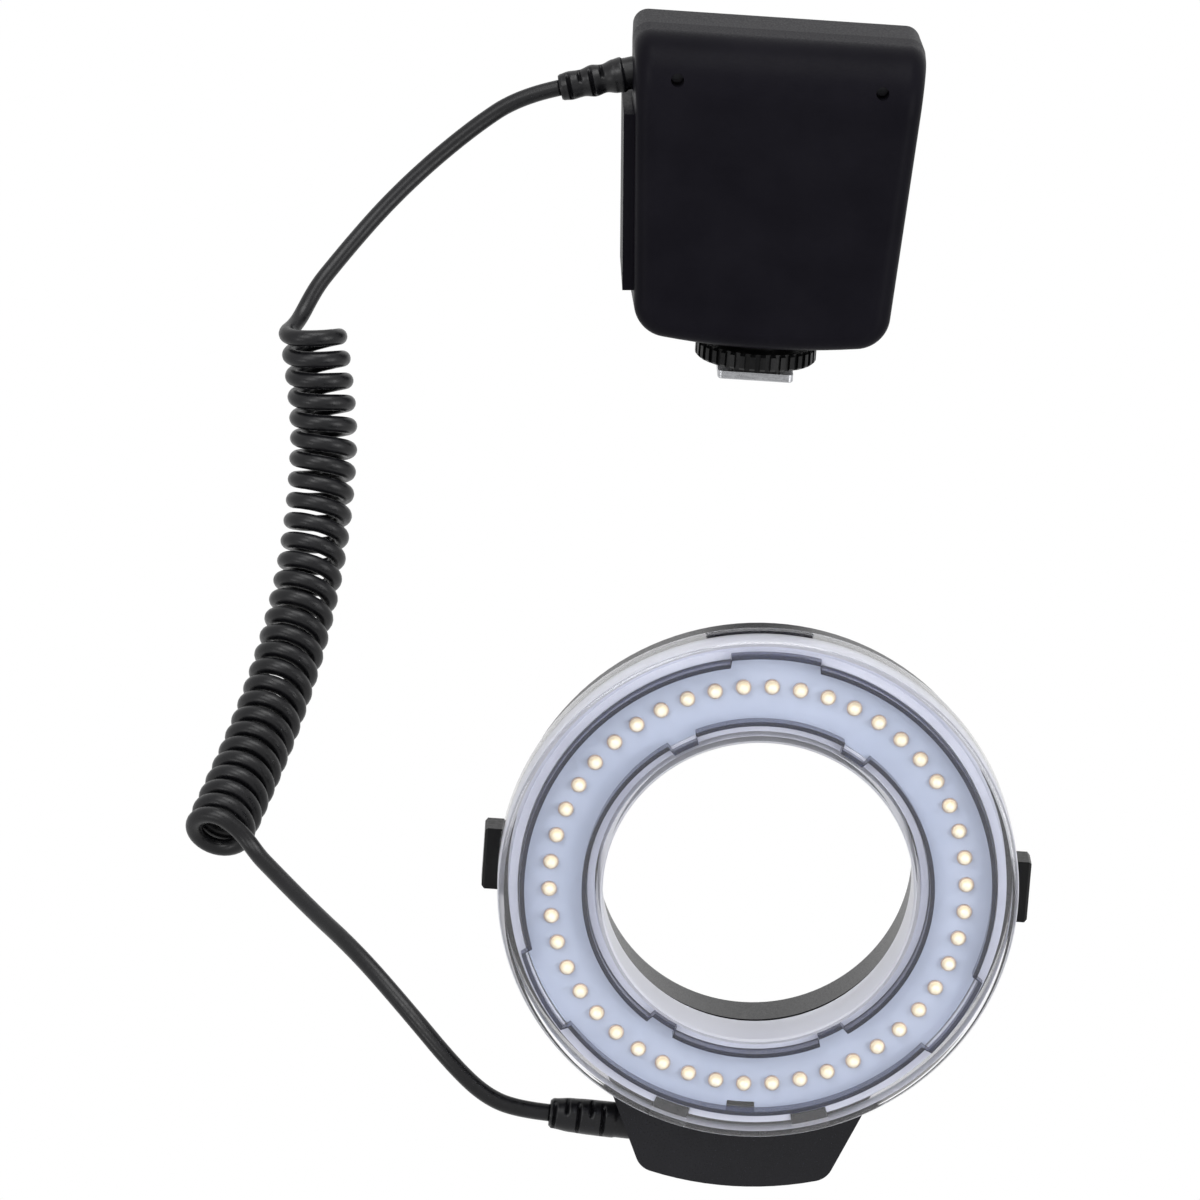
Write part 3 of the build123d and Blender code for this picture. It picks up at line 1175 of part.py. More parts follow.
with BuildPart() as driver_board:
    with BuildSketch(ring_plane(DRIVER_Y)):
        with Locations((0, -DRIVER_DROP)):
            Rectangle(DRIVER_WIDTH, DRIVER_HEIGHT)
    extrude(amount=DRIVER_THICK)
driver_board.part.label = "driver_board"
export_step(driver_board.part, "parts/driver_board.step")

# Release latches: each button's arm runs round to a hook on the far side
ARM_Y = LATCH_Y + LATCH_THICK / 2
for name, side in (("release_right", 1), ("release_left", -1)):
    facing = 90 * side
    with BuildPart() as latch:
        with BuildSketch(ring_plane(ARM_Y)):
            add(sector(LATCH_IN_R, LATCH_OUT_R, facing + 90 + LATCH_BRIDGE_TURN / 2, LATCH_SWEEP))
            add(sector(LATCH_IN_R, BUTTON_FLANGE_OUT_R, facing + LATCH_BRIDGE_TURN, LATCH_BRIDGE))
            with Locations((0, -RELEASE_SPRING_DROP * side)):
                Rectangle(2 * LUG_HALF, 2 * (LUG_R - RELEASE_SPRING_DROP))
            with Locations((0, -(LATCH_OUT_R + RELEASE_SPRING_DROP) / 2 * side)):
                Rectangle(2 * LUG_HALF, RELEASE_SPRING_DROP - LATCH_OUT_R + 2)
        extrude(amount=LATCH_THICK)
        with BuildSketch(ring_plane(LATCH_Y + HOOK_THICK / 2)):
            add(sector(HOOK_TIP_R, LATCH_IN_R + 1, facing + 180, HOOK_ANGLE))
        extrude(amount=HOOK_THICK)
        with BuildSketch(ring_plane(BUTTON_REAR_Y)):
            flange_turn = facing + LATCH_BRIDGE_TURN / 4
            add(sector(BUTTON_BACK_R, BUTTON_FLANGE_OUT_R, flange_turn, BUTTON_FLANGE_SWEEP))
        extrude(amount=BUTTON_REAR_Y - BUTTON_FRONT_Y)
        with BuildSketch(ring_plane(BUTTON_REAR_Y)):
            with Locations(((BUTTON_BACK_R + BUTTON_OUT) / 2 * side, 0)):
                Rectangle(BUTTON_OUT - BUTTON_BACK_R, 2 * BUTTON_HALF)
        extrude(amount=BUTTON_REAR_Y - BUTTON_FRONT_Y)
        chamfer(latch.faces().sort_by(Axis.X)[-1 if side > 0 else 0].edges(), WHEEL_EDGE)
    latch.part.label = name
    export_step(latch.part, f"parts/{name}.step")

coil_rise = RELEASE_SPRING_LENGTH - SPRING_WIRE - 2 * SEAT_GAP
for name, side in (("release_spring_right", 1), ("release_spring_left", -1)):
    coil_x = (LUG_HALF + SPRING_WIRE / 2 + SEAT_GAP) * -side
    base = (coil_x, LATCH_Y, RING_Z - RELEASE_SPRING_DROP * side)
    way = (-side, 0, 0)
    with BuildPart() as release_spring:
        with BuildLine():
            coil = Helix(coil_rise / SPRING_TURNS, coil_rise, RELEASE_SPRING_R, center=base, direction=way)
        with BuildSketch(Plane(origin=coil @ 0, z_dir=coil % 0)):
            Rectangle(SPRING_STRIP, SPRING_STRIP)
        sweep(path=coil, is_frenet=True)
    release_spring.part.label = name
    export_step(release_spring.part, f"parts/{name}.step")

FLANGE_REAR = ADAPTER_FRONT_Y + ADAPTER_FLANGE
with BuildPart() as lens_adapter:
    with BuildSketch(RING_SECTION):
        section_box(ADAPTER_FRONT_Y, FLANGE_REAR, ADAPTER_BORE_R, ADAPTER_R)
        section_box(ADAPTER_FRONT_Y, THREAD_START_Y, ADAPTER_BORE_R, ADAPTER_NECK_R)
        section_box(ADAPTER_FRONT_Y, THREAD_START_Y + THREAD_LENGTH, ADAPTER_BORE_R, THREAD_R)
        with Locations((LATCH_Y, ADAPTER_R)):
            Rectangle(ADAPTER_GROOVE, 2 * ADAPTER_GROOVE_DEPTH, mode=Mode.SUBTRACT)
    revolve(axis=RING_AXIS)
lens_adapter.part.label = "lens_adapter"
export_step(lens_adapter.part, "parts/lens_adapter.step")
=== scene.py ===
"""Dress the macro LED ring light: its finishes, curly cord, cover, lamps, springs and studio.

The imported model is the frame. Everything here is in metres, in the frame's own axes: +Z is
up, the lamps shine along -Y, and the origin is under the middle of the hot-shoe foot. A turn
round the lens head is counted in degrees from its top, clockwise as seen from the front.
"""
import logging
import math
from dataclasses import dataclass
from enum import Enum, IntEnum

import bmesh
import bpy
from mathutils import Matrix, Vector


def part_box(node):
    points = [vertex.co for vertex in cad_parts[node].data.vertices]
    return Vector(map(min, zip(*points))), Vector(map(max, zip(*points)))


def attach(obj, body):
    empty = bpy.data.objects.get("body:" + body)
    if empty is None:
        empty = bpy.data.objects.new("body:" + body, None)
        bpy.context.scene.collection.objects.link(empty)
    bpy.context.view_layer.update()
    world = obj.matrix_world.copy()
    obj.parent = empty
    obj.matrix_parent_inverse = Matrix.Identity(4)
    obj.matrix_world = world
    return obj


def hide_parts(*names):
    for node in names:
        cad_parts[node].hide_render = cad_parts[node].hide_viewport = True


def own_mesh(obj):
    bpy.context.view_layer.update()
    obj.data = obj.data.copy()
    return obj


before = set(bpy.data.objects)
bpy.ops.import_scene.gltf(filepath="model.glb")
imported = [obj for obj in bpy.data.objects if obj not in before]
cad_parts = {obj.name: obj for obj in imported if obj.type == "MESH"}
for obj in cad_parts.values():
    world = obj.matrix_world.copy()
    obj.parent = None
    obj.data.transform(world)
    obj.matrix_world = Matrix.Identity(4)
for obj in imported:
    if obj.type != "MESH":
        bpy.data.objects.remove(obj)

logging.basicConfig(level=logging.INFO, format="%(name)s: %(message)s")
log = logging.getLogger("ring_light")

MM = 0.001
# Height of the lens head's axis.
HEAD_AXIS_Z = -70.0 * MM

Point = tuple[float, float, float]
Ring = list[bmesh.types.BMVert]


class Body(str, Enum):
    """Rigid bodies of the frame that pieces ride on."""

    CONTROLLER = "controller"


class Axis(IntEnum):
    """Axes that a spring can lie along, by their place in a vector."""

    X = 0
    Z = 2


class Stain(Enum):
    """Ways in which a finish's colour varies over the surface."""

    MOULD_FLOW = "mould_flow"
    BRUSHED = "brushed"


class CoverWall(IntEnum):
    """Kinds of wall on the clear cover, in the order of its material slots."""

    POLISHED = 0
    # The rib walls are tinted dark blue as painted shade.
    RIB = 1
    HONED = 2


class LampBand(IntEnum):
    """Bands of a lamp from the board to its tip, in the order of the lamps' material slots."""

    # The collar's warm brown is painted shade.
    RIM = 0
    DOME = 1
    # The crown's finish is lighter than the dome's: a painted highlight.
    CROWN = 2


# Colours and nodes


def linear(hex_colour: str) -> tuple[float, float, float, float]:
    """Turn an sRGB hex value into a linear colour.

    Args:
        hex_colour: six hex digits after a hash.

    Returns:
        Linear red, green and blue, and a full alpha.
    """
    channels = []
    for start in (1, 3, 5):
        value = int(hex_colour[start : start + 2], 16) / 255
        channels.append(value / 12.92 if value <= 0.04045 else ((value + 0.055) / 1.055) ** 2.4)
    return (*channels, 1.0)


def fill(tree: bpy.types.NodeTree, node: bpy.types.Node, inputs: dict) -> None:
    """Set a node's inputs, and link those that are given as sockets.

    Args:
        tree: the tree that holds the node.
        node: the node.
        inputs: values or sockets by input name or number.
    """
    for name, value in inputs.items():
        if isinstance(value, bpy.types.NodeSocket):
            tree.links.new(value, node.inputs[name])
        else:
            node.inputs[name].default_value = value


def add_node(tree: bpy.types.NodeTree, kind: str, inputs: dict | None = None, **settings) -> bpy.types.Node:
    """Add a node with its settings, values and links.

    Args:
        tree: the tree that gets the node.
        kind: the node's type name.
        inputs: values or sockets by input name or number.
        settings: the node's own properties.

    Returns:
        The new node.
    """
    node = tree.nodes.new(kind)
    for name, value in settings.items():
        setattr(node, name, value)
    fill(tree, node, inputs or {})
    return node


def new_material(name: str) -> tuple[bpy.types.Material, bpy.types.NodeTree, bpy.types.Node]:
    """Make a material with nodes.

    Args:
        name: the material's name.

    Returns:
        The material, its tree and its shader.
    """
    material = bpy.data.materials.new(name)
    material.use_nodes = True
    tree = material.node_tree
    return material, tree, tree.nodes["Principled BSDF"]


# Finishes

# Strokes of a brush or a turning tool are drawn this many times longer than wide.
BRUSH_STRETCH = 12.0
# Noise seldom leaves these shares of its range, so they are spread over the whole of it.
CLOUD_SPAN = (0.35, 0.65)
GRAIN_SPAN = (0.3, 0.7)
# Films and lacquers are smooth, but no surface here is a perfect mirror.
COAT_ROUGHNESS = 0.15
LEAST_ROUGHNESS = 0.02
# From this share of metal on, a finish keeps the shader's own IOR.
METAL_SHARE = 0.5


@dataclass(frozen=True)
class Finish:
    """An opaque surface: what the material is, and how its surface was made.

    The stain is a slow drift between the two colours, and the grain is the texture of the
    tool. Real moulded grain is 0.05 to 0.1 mm wide: it is drawn as coarse as it needs to show.
    """

    name: str
    colour: str
    deep_colour: str
    roughness: float
    metallic: float = 0.0
    ior: float = 1.5
    grain_mm: float = 0.4
    grain_height_mm: float = 0.01
    gloss_spread: float = 0.08
    specular: float = 0.5
    coat: float = 0.0
    stain: Stain = Stain.MOULD_FLOW
    stain_mm: float = 18.0

    def colour_socket(self, tree: bpy.types.NodeTree, place: bpy.types.NodeSocket) -> bpy.types.NodeSocket:
        """Mix the two colours of the finish over the surface.

        Args:
            tree: the material's tree.
            place: object coordinates.

        Returns:
            The colour to use.
        """
        if self.stain is Stain.BRUSHED:
            stretch = add_node(tree, "ShaderNodeMapping", {"Vector": place, "Scale": (1, 1, BRUSH_STRETCH)})
            place = stretch.outputs["Vector"]
        cloud = add_node(
            tree,
            "ShaderNodeTexNoise",
            {"Vector": place, "Scale": 1 / (self.stain_mm * MM), "Detail": 4.0, "Roughness": 0.6},
        )
        ramp = add_node(
            tree,
            "ShaderNodeMapRange",
            {"Value": cloud.outputs["Fac"], "From Min": CLOUD_SPAN[0], "From Max": CLOUD_SPAN[1]},
        )
        mix = add_node(
            tree,
            "ShaderNodeMix",
            {"Factor": ramp.outputs["Result"], 6: linear(self.deep_colour), 7: linear(self.colour)},
            data_type="RGBA",
        )
        return mix.outputs[2]

    def material(self) -> bpy.types.Material:
        """Build the finish as a Blender material.

        Returns:
            The material.
        """
        material, tree, shader = new_material(self.name)
        place = add_node(tree, "ShaderNodeTexCoord").outputs["Object"]
        grain = add_node(
            tree,
            "ShaderNodeTexNoise",
            {"Vector": place, "Scale": 1 / (self.grain_mm * MM), "Detail": 2.0, "Roughness": 0.5},
        )
        gloss = add_node(
            tree,
            "ShaderNodeMapRange",
            {
                "Value": grain.outputs["Fac"],
                "From Min": GRAIN_SPAN[0],
                "From Max": GRAIN_SPAN[1],
                "To Min": max(self.roughness - self.gloss_spread, LEAST_ROUGHNESS),
                "To Max": min(self.roughness + self.gloss_spread, 1.0),
            },
        )
        bump = add_node(
            tree,
            "ShaderNodeBump",
            {"Height": grain.outputs["Fac"], "Distance": self.grain_height_mm * MM, "Strength": 1.0},
        )
        fill(
            tree,
            shader,
            {
                "Base Color": self.colour_socket(tree, place),
                "Metallic": self.metallic,
                "Roughness": gloss.outputs["Result"],
                "Specular IOR Level": self.specular,
                "Coat Weight": self.coat,
                "Coat Roughness": COAT_ROUGHNESS,
                "Normal": bump.outputs["Normal"],
            },
        )
        if self.metallic < METAL_SHARE:
            fill(tree, shader, {"IOR": self.ior})
        return material


@dataclass(frozen=True)
class ClearFinish:
    """A clear plastic wall that lets the lamps' and the room's light through."""

    name: str
    colour: str
    roughness: float
    ior: float
    haze: float = 0.0

    def material(self) -> bpy.types.Material:
        """Build the finish as a Blender material.

        Returns:
            The material.
        """
        material, tree, shader = new_material(self.name)
        tint = linear(self.colour)
        fill(
            tree,
            shader,
            {
                "Base Color": tint,
                "Roughness": self.roughness,
                "IOR": self.ior,
                "Transmission Weight": 1.0 - self.haze,
            },
        )
        path = add_node(tree, "ShaderNodeLightPath")
        through = add_node(tree, "ShaderNodeBsdfTransparent", {"Color": tint})
        mix = add_node(
            tree,
            "ShaderNodeMixShader",
            {0: path.outputs["Is Shadow Ray"], 1: shader.outputs["BSDF"], 2: through.outputs["BSDF"]},
        )
        fill(tree, tree.nodes["Material Output"], {"Surface": mix.outputs["Shader"]})
        return material


# Moulded ABS with a fine spark-eroded texture: it breaks highlights into a faint, soft sheen.
HOUSING_ABS = Finish(
    "housing_abs", "#121116", "#0e0d12", 0.4, ior=1.53, grain_mm=0.45, grain_height_mm=0.006, specular=0.025
)
# The same ABS in the lens head, a touch glossier where the tool was polished.
HEAD_ABS = Finish(
    "head_abs", "#121216", "#0e0e12", 0.32, ior=1.53, grain_mm=0.5, grain_height_mm=0.005, specular=0.2
)
# Moulded nylon, waxier than ABS, with a satin sheen.
NYLON = Finish(
    "satin_nylon", "#0c0c0d", "#09090a", 0.36, ior=1.53, grain_mm=0.6, grain_height_mm=0.006, specular=0.15
)
# Moulded grey ABS of the battery cage, even and matt.
CAGE_ABS = Finish("cage_abs", "#3d3e42", "#35363a", 0.5, ior=1.53)
# Grey ABS keys, polished by fingers, so they are a little glossier.
KEY_ABS = Finish("key_abs", "#58595e", "#4e4f54", 0.42, ior=1.53)
# Soft PVC jacket: smooth, slightly greasy, so it keeps long clear highlights.
CORD_PVC = Finish(
    "cord_pvc", "#0d0d10", "#09090b", 0.34, ior=1.53, grain_mm=0.9, grain_height_mm=0.006, specular=0.24
)
# Black oxide on steel screws: a dark grey metal, with strokes from the tool.
BLACK_OXIDE = Finish("black_oxide_steel", "#3a3a3d", "#2a2a2c", 0.4, 1.0, stain=Stain.BRUSHED, stain_mm=2.0)
# Nickel plate on spring-steel contacts: a warm, bright metal.
NICKEL = Finish("nickel_plate", "#c4bfb4", "#aaa59a", 0.28, 1.0, stain=Stain.BRUSHED, stain_mm=3.0)
# Drawn spring wire, dull along its length.
SPRING_WIRE = Finish("drawn_spring_wire", "#b0b0b2", "#8e8e90", 0.35, 1.0, stain_mm=1.0)
# Satin plated foot and clamp plate, with faint strokes from the brush.
FOOT_PLATE = Finish("satin_plated_foot", "#b9babd", "#a2a3a6", 0.34, 1.0, stain=Stain.BRUSHED, stain_mm=4.0)
# Turned brass with a gold flash on the contact pin: a small warm glint.
CONTACT_GOLD = Finish("gold_flashed_brass", "#d9b05c", "#c79c48", 0.25, 1.0, stain_mm=2.0)
# Printed film round a steel cell, glossy and blue-grey.
CELL_FILM = Finish("cell_film", "#4a5568", "#404a5c", 0.3, ior=1.55, coat=0.4, stain_mm=30.0)
# Green solder resist over glass fibre laminate: the weave shows as a faint mottle.
GREEN_BOARD = Finish("green_solder_resist", "#1f5a34", "#17482a", 0.35, ior=1.55, coat=0.3, stain_mm=2.0)
# Pale blue-grey solder resist of the lamp board, matt under the clear cover.
LAMP_BOARD = Finish(
    "pale_solder_resist", "#a4adbf", "#9ba5b8", 0.55, grain_height_mm=0.003, specular=0.3, stain_mm=25.0
)
# White moulded ABS of the tray: a pale band round the lamp board.
TRAY_ABS = Finish("tray_white_abs", "#c9ccd6", "#bfc2cd", 0.5, ior=1.53, grain_height_mm=0.004)
# Black anodised aluminium, turned: fine rings from the tool.
ANODISED = Finish(
    "black_anodised_aluminium", "#1c1c1e", "#151517", 0.34, 0.6, stain=Stain.BRUSHED, stain_mm=3.0
)
# Liquid crystal glass with its grey-green polariser, switched off.
LCD_GLASS = Finish("lcd_polariser", "#8d9484", "#878e7e", 0.2, ior=1.52, grain_height_mm=0.0, stain_mm=40.0)
# Resin collar round the foot of each lamp, coloured warm brown as painted shade round the lamp's foot.
LAMP_RIM_SHADE = Finish("lamp_rim_painted_shade", "#b59a86", "#a68b78", 0.3, ior=1.53, grain_height_mm=0.0, stain_mm=2.0)
# Epoxy dome over warm phosphor, with the lamps off: cream, with a soft gloss.
LAMP_EPOXY = Finish(
    "lamp_epoxy", "#f0dfb8", "#e8d5a8", 0.18, ior=1.53, grain_height_mm=0.0, coat=0.6, stain_mm=2.0
)
# Crown of the dome, over the die, coloured a lighter, glossier cream than the dome: a painted highlight on
# the lamp's tip.
LAMP_CROWN_HIGHLIGHT = Finish(
    "lamp_crown_painted_highlight", "#f4e8cc", "#eddfbc", 0.12, ior=1.53, grain_height_mm=0.0, coat=0.8, stain_mm=2.0
)
# Clear polished acrylic of the display window: one flat, sharp reflection.
WINDOW_ACRYLIC = ClearFinish("window_acrylic", "#eef0f2", 0.02, 1.49)
# Clear polished polycarbonate of the front cover: bright lines along its edges.
COVER_PC = ClearFinish("cover_polycarbonate", "#fafafc", 0.03, 1.585)
# Skirt and hub of the cover, honed in the tool and not polished: they scatter the room's light.
SKIRT_PC = ClearFinish("honed_polycarbonate", "#d4d5dc", 0.28, 1.585, haze=0.42)
# Walls of the cover's ribs, as cut in the tool, tinted dark blue: painted shade that draws the dark lines
# along the ribs.
RIB_WALL_SHADE_PC = ClearFinish("rib_wall_painted_shade", "#26325c", 0.14, 1.585, haze=0.6)

NODE_FINISHES: dict[str, Finish | ClearFinish] = {
    "front_shell": HOUSING_ABS,
    "rear_shell": HOUSING_ABS,
    "battery_door": HOUSING_ABS,
    "power_switch": HOUSING_ABS,
    "case_screws": BLACK_OXIDE,
    "foot_screws": BLACK_OXIDE,
    "cover_screws": BLACK_OXIDE,
    "door_contacts": NICKEL,
    "cell_contacts": NICKEL,
    "battery_cage": CAGE_ABS,
    "aa_cells": CELL_FILM,
    "control_board": GREEN_BOARD,
    "driver_board": GREEN_BOARD,
    "lcd_module": LCD_GLASS,
    "lcd_window": WINDOW_ACRYLIC,
    "minus_button": KEY_ABS,
    "mode_button": KEY_ABS,
    "plus_button": KEY_ABS,
    "test_button": KEY_ABS,
    "foot_stem": NYLON,
    "locking_ring": NYLON,
    "release_left": NYLON,
    "release_right": NYLON,
    "shoe_plate": FOOT_PLATE,
    "clamp_plate": FOOT_PLATE,
    "centre_contact": CONTACT_GOLD,
    "led_board": LAMP_BOARD,
    "led_tray": TRAY_ABS,
    "ring_case": HEAD_ABS,
    "rear_cover": HEAD_ABS,
    "lens_adapter": ANODISED,
}


class Palette:
    """The materials made so far, one for each finish."""

    def __init__(self) -> None:
        """Start with no materials."""
        self.made: dict[str, bpy.types.Material] = {}

    def material(self, finish: Finish | ClearFinish) -> bpy.types.Material:
        """Make a finish's material once, and hand it out from then on.

        Args:
            finish: the finish.

        Returns:
            Its material.
        """
        if finish.name not in self.made:
            self.made[finish.name] = finish.material()
        return self.made[finish.name]

    def dress(self, piece: bpy.types.Object, finish: Finish | ClearFinish) -> None:
        """Give every material slot of a piece the same finish.

        Args:
            piece: the piece.
            finish: its finish.
        """
        material = self.material(finish)
        if not piece.material_slots:
            piece.data.materials.append(material)
        for held in piece.material_slots:
            held.material = material


# Pieces and forms


def new_piece(name: str, mesh: bmesh.types.BMesh, crease: float = 180.0) -> bpy.types.Object:
    """Turn a bmesh into an object of the scene, shaded smooth.

    Args:
        name: the object's name.
        mesh: the shape, which is freed.
        crease: angle in degrees above which an edge stays sharp.

    Returns:
        The object.
    """
    data = bpy.data.meshes.new(name)
    mesh.to_mesh(data)
    mesh.free()
    data.polygons.foreach_set("use_smooth", [True] * len(data.polygons))
    data.set_sharp_from_angle(angle=math.radians(crease))
    piece = bpy.data.objects.new(name, data)
    bpy.context.scene.collection.objects.link(piece)
    return piece


def skin(mesh: bmesh.types.BMesh, rings: list[Ring]) -> list[list[bmesh.types.BMFace]]:
    """Join each ring of corners to the next with a band of faces.

    Args:
        mesh: the mesh that holds the corners.
        rings: the rings, each with as many corners.

    Returns:
        The faces of each band.
    """
    bands = []
    for low, high in zip(rings, rings[1:]):
        band = []
        for corner in range(len(low)):
            other = (corner + 1) % len(low)
            band.append(mesh.faces.new((low[corner], low[other], high[other], high[corner])))
        bands.append(band)
    return bands


def close_ends(mesh: bmesh.types.BMesh, rings: list[Ring]) -> None:
    """Lay a face over the first ring of a skinned form, and one over its last."""
    mesh.faces.new(list(reversed(rings[0])))
    mesh.faces.new(rings[-1])


def round_tube(path: list[Vector], diameter: float, sides: int) -> bmesh.types.BMesh:
    """Draw a round tube along a path.

    Args:
        path: the centre line.
        diameter: across the tube.
        sides: how many flats stand for its round.

    Returns:
        The tube, closed at both ends.
    """
    mesh = bmesh.new()
    rings = []
    way = (path[1] - path[0]).normalized()
    side = way.orthogonal().normalized()
    for index, point in enumerate(path):
        after = path[min(index + 1, len(path) - 1)]
        before = path[max(index - 1, 0)]
        new_way = (after - before).normalized()
        side = (way.rotation_difference(new_way) @ side).normalized()
        way = new_way
        up = way.cross(side)
        ring = []
        for corner in range(sides):
            angle = 2 * math.pi * corner / sides
            offset = (side * math.cos(angle) + up * math.sin(angle)) * diameter / 2
            ring.append(mesh.verts.new(point + offset))
        rings.append(ring)
    skin(mesh, rings)
    close_ends(mesh, rings)
    return mesh


# Curly cord


@dataclass
class CurlyCord:
    """The cord from the controller to the lens head, with its curls."""

    palette: Palette
    diameter: float = 4.0 * MM
    curl_radius: float = 6.2 * MM
    curl_pitch_top: float = 5.35 * MM
    curl_pitch_end: float = 5.0 * MM
    curl_turns: float = 27.4167
    start_turn: float = 150.0
    steps_per_turn: int = 36
    sides: int = 20
    route_order: int = 3
    route_steps: int = 24
    join_steps: int = 14
    # Share of the gap that each end of a join heads straight on.
    join_reach: float = 0.42
    upper_route: tuple[Point, ...] = (
        (-0.0527859, 0.002, 0.0680385),
        (-0.0623985, 0.002, 0.0652821),
        (-0.0735, -0.0008, 0.0573),
        (-0.0868, -0.0064, 0.0456),
        (-0.0986, -0.0146, 0.0334),
        (-0.1072, -0.0242, 0.0232),
    )
    axis_route: tuple[Point, ...] = (
        (-0.1096, -0.0400, 0.0140),
        (-0.1052, -0.0420, -0.0050),
        (-0.1047, -0.0470, -0.0235),
        (-0.1060, -0.0560, -0.0410),
        (-0.1092, -0.0690, -0.0575),
        (-0.1140, -0.0860, -0.0720),
        (-0.1202, -0.1060, -0.0846),
        (-0.1240, -0.1190, -0.0910),
    )
    lower_route: tuple[Point, ...] = (
        (-0.1125, -0.1275, -0.0936),
        (-0.1019, -0.1410, -0.0993),
        (-0.0894, -0.1605, -0.1035),
        (-0.0764, -0.1735, -0.1131),
        (-0.0660, -0.1802, -0.1225),
        (-0.0582, -0.1816, -0.1290),
        (-0.0506646, -0.1818, -0.1318496),
        (-0.0428753, -0.1818, -0.1322580),
    )

    def read_route(self, name: str, points: tuple[Point, ...]) -> list[Vector]:
        """Read the smooth line of a route from a NURBS spline on its points.

        Args:
            name: the spline's name while it exists.
            points: the route's points.

        Returns:
            Closely spaced points of the line.
        """
        curve = bpy.data.curves.new(name, "CURVE")
        curve.dimensions = "3D"
        curve.resolution_u = self.route_steps
        spline = curve.splines.new("NURBS")
        spline.points.add(len(points) - 1)
        for point, place in zip(spline.points, points):
            point.co = (*place, 1.0)
        spline.order_u = self.route_order
        spline.use_endpoint_u = True
        holder = bpy.data.objects.new(name, curve)
        line = bpy.data.meshes.new_from_object(holder)
        found = [vertex.co.copy() for vertex in line.vertices]
        bpy.data.meshes.remove(line)
        bpy.data.objects.remove(holder)
        bpy.data.curves.remove(curve)
        return found

    def along(self, line: list[Vector], share: float) -> tuple[Vector, Vector]:
        """Find the point and direction at a share of a line's length.

        Args:
            line: the line's points.
            share: from 0 at its start to 1 at its end.

        Returns:
            The point and the unit direction there.
        """
        lengths = [(b - a).length for a, b in zip(line, line[1:])]
        left = min(max(share, 0.0), 1.0) * sum(lengths)
        step = 0
        while step < len(lengths) - 1 and left > lengths[step]:
            left -= lengths[step]
            step += 1
        here = line[step].lerp(line[step + 1], left / lengths[step])
        before = line[max(step - 1, 0)]
        after = line[min(step + 2, len(line) - 1)]
        return here, (after - before).normalized()

    def curls(self, axis: list[Vector]) -> list[Vector]:
        """Wind the curls round their axis, a little tighter towards the lower end.

        Args:
            axis: the points of the curls' axis.

        Returns:
            Points of the wound centre line.
        """
        growth = (self.curl_pitch_end - self.curl_pitch_top) / self.curl_pitch_top
        total = round(self.curl_turns * self.steps_per_turn)
        wound = []
        for step in range(total + 1):
            turned = step / total
            share = ((1 + growth) ** turned - 1) / growth
            centre, way = self.along(axis, share)
            side = (Vector((1, 0, 0)) - way * way.x).normalized()
            angle = math.radians(self.start_turn) + 2 * math.pi * self.curl_turns * turned
            out = side * math.cos(angle) + side.cross(way) * math.sin(angle)
            wound.append(centre + out * self.curl_radius)
        return wound

    def join(self, before: list[Vector], after: list[Vector]) -> list[Vector]:
        """Bend smoothly from the end of one line into the start of the next.

        Args:
            before: the line that ends.
            after: the line that starts.

        Returns:
            The points between the two lines.
        """
        start, end = before[-1], after[0]
        start_way = (before[-1] - before[-2]).normalized()
        end_way = (after[1] - after[0]).normalized()
        reach = (end - start).length * self.join_reach
        first = start + start_way * reach
        second = end - end_way * reach
        bend = []
        for step in range(1, self.join_steps):
            t = step / self.join_steps
            bend.append(
                start * (1 - t) ** 3
                + first * 3 * t * (1 - t) ** 2
                + second * 3 * t**2 * (1 - t)
                + end * t**3
            )
        return bend

    def build(self) -> None:
        upper = self.read_route("upper_route", self.upper_route)
        axis = self.read_route("axis_route", self.axis_route)
        lower = self.read_route("lower_route", self.lower_route)
        wound = self.curls(axis)
        path = upper + self.join(upper, wound) + wound + self.join(wound, lower) + lower
        cord = new_piece("curly_cord", round_tube(path, self.diameter, self.sides))
        self.palette.dress(cord, CORD_PVC)
        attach(cord, Body.CONTROLLER.value)
        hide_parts("cord_upper", "cord_coil", "cord_lower")


# Cord boots

# Distance out from the housing and radius, in millimetres.
UPPER_BOOT_SHAPE = (
    (0.0, 3.97),
    (1.7, 3.97),
    (2.3, 4.4),
    (4.2, 4.2),
    (7.0, 3.55),
    (9.6, 3.95),
    (12.6, 3.35),
    (15.4, 3.55),
    (17.4, 3.3),
    (18.0, 3.0),
)
LOWER_BOOT_SHAPE = (
    (0.0, 3.97),
    (2.4, 3.97),
    (3.4, 4.15),
    (9.0, 4.1),
    (13.0, 3.95),
    (17.3, 3.5),
    (18.0, 3.0),
)


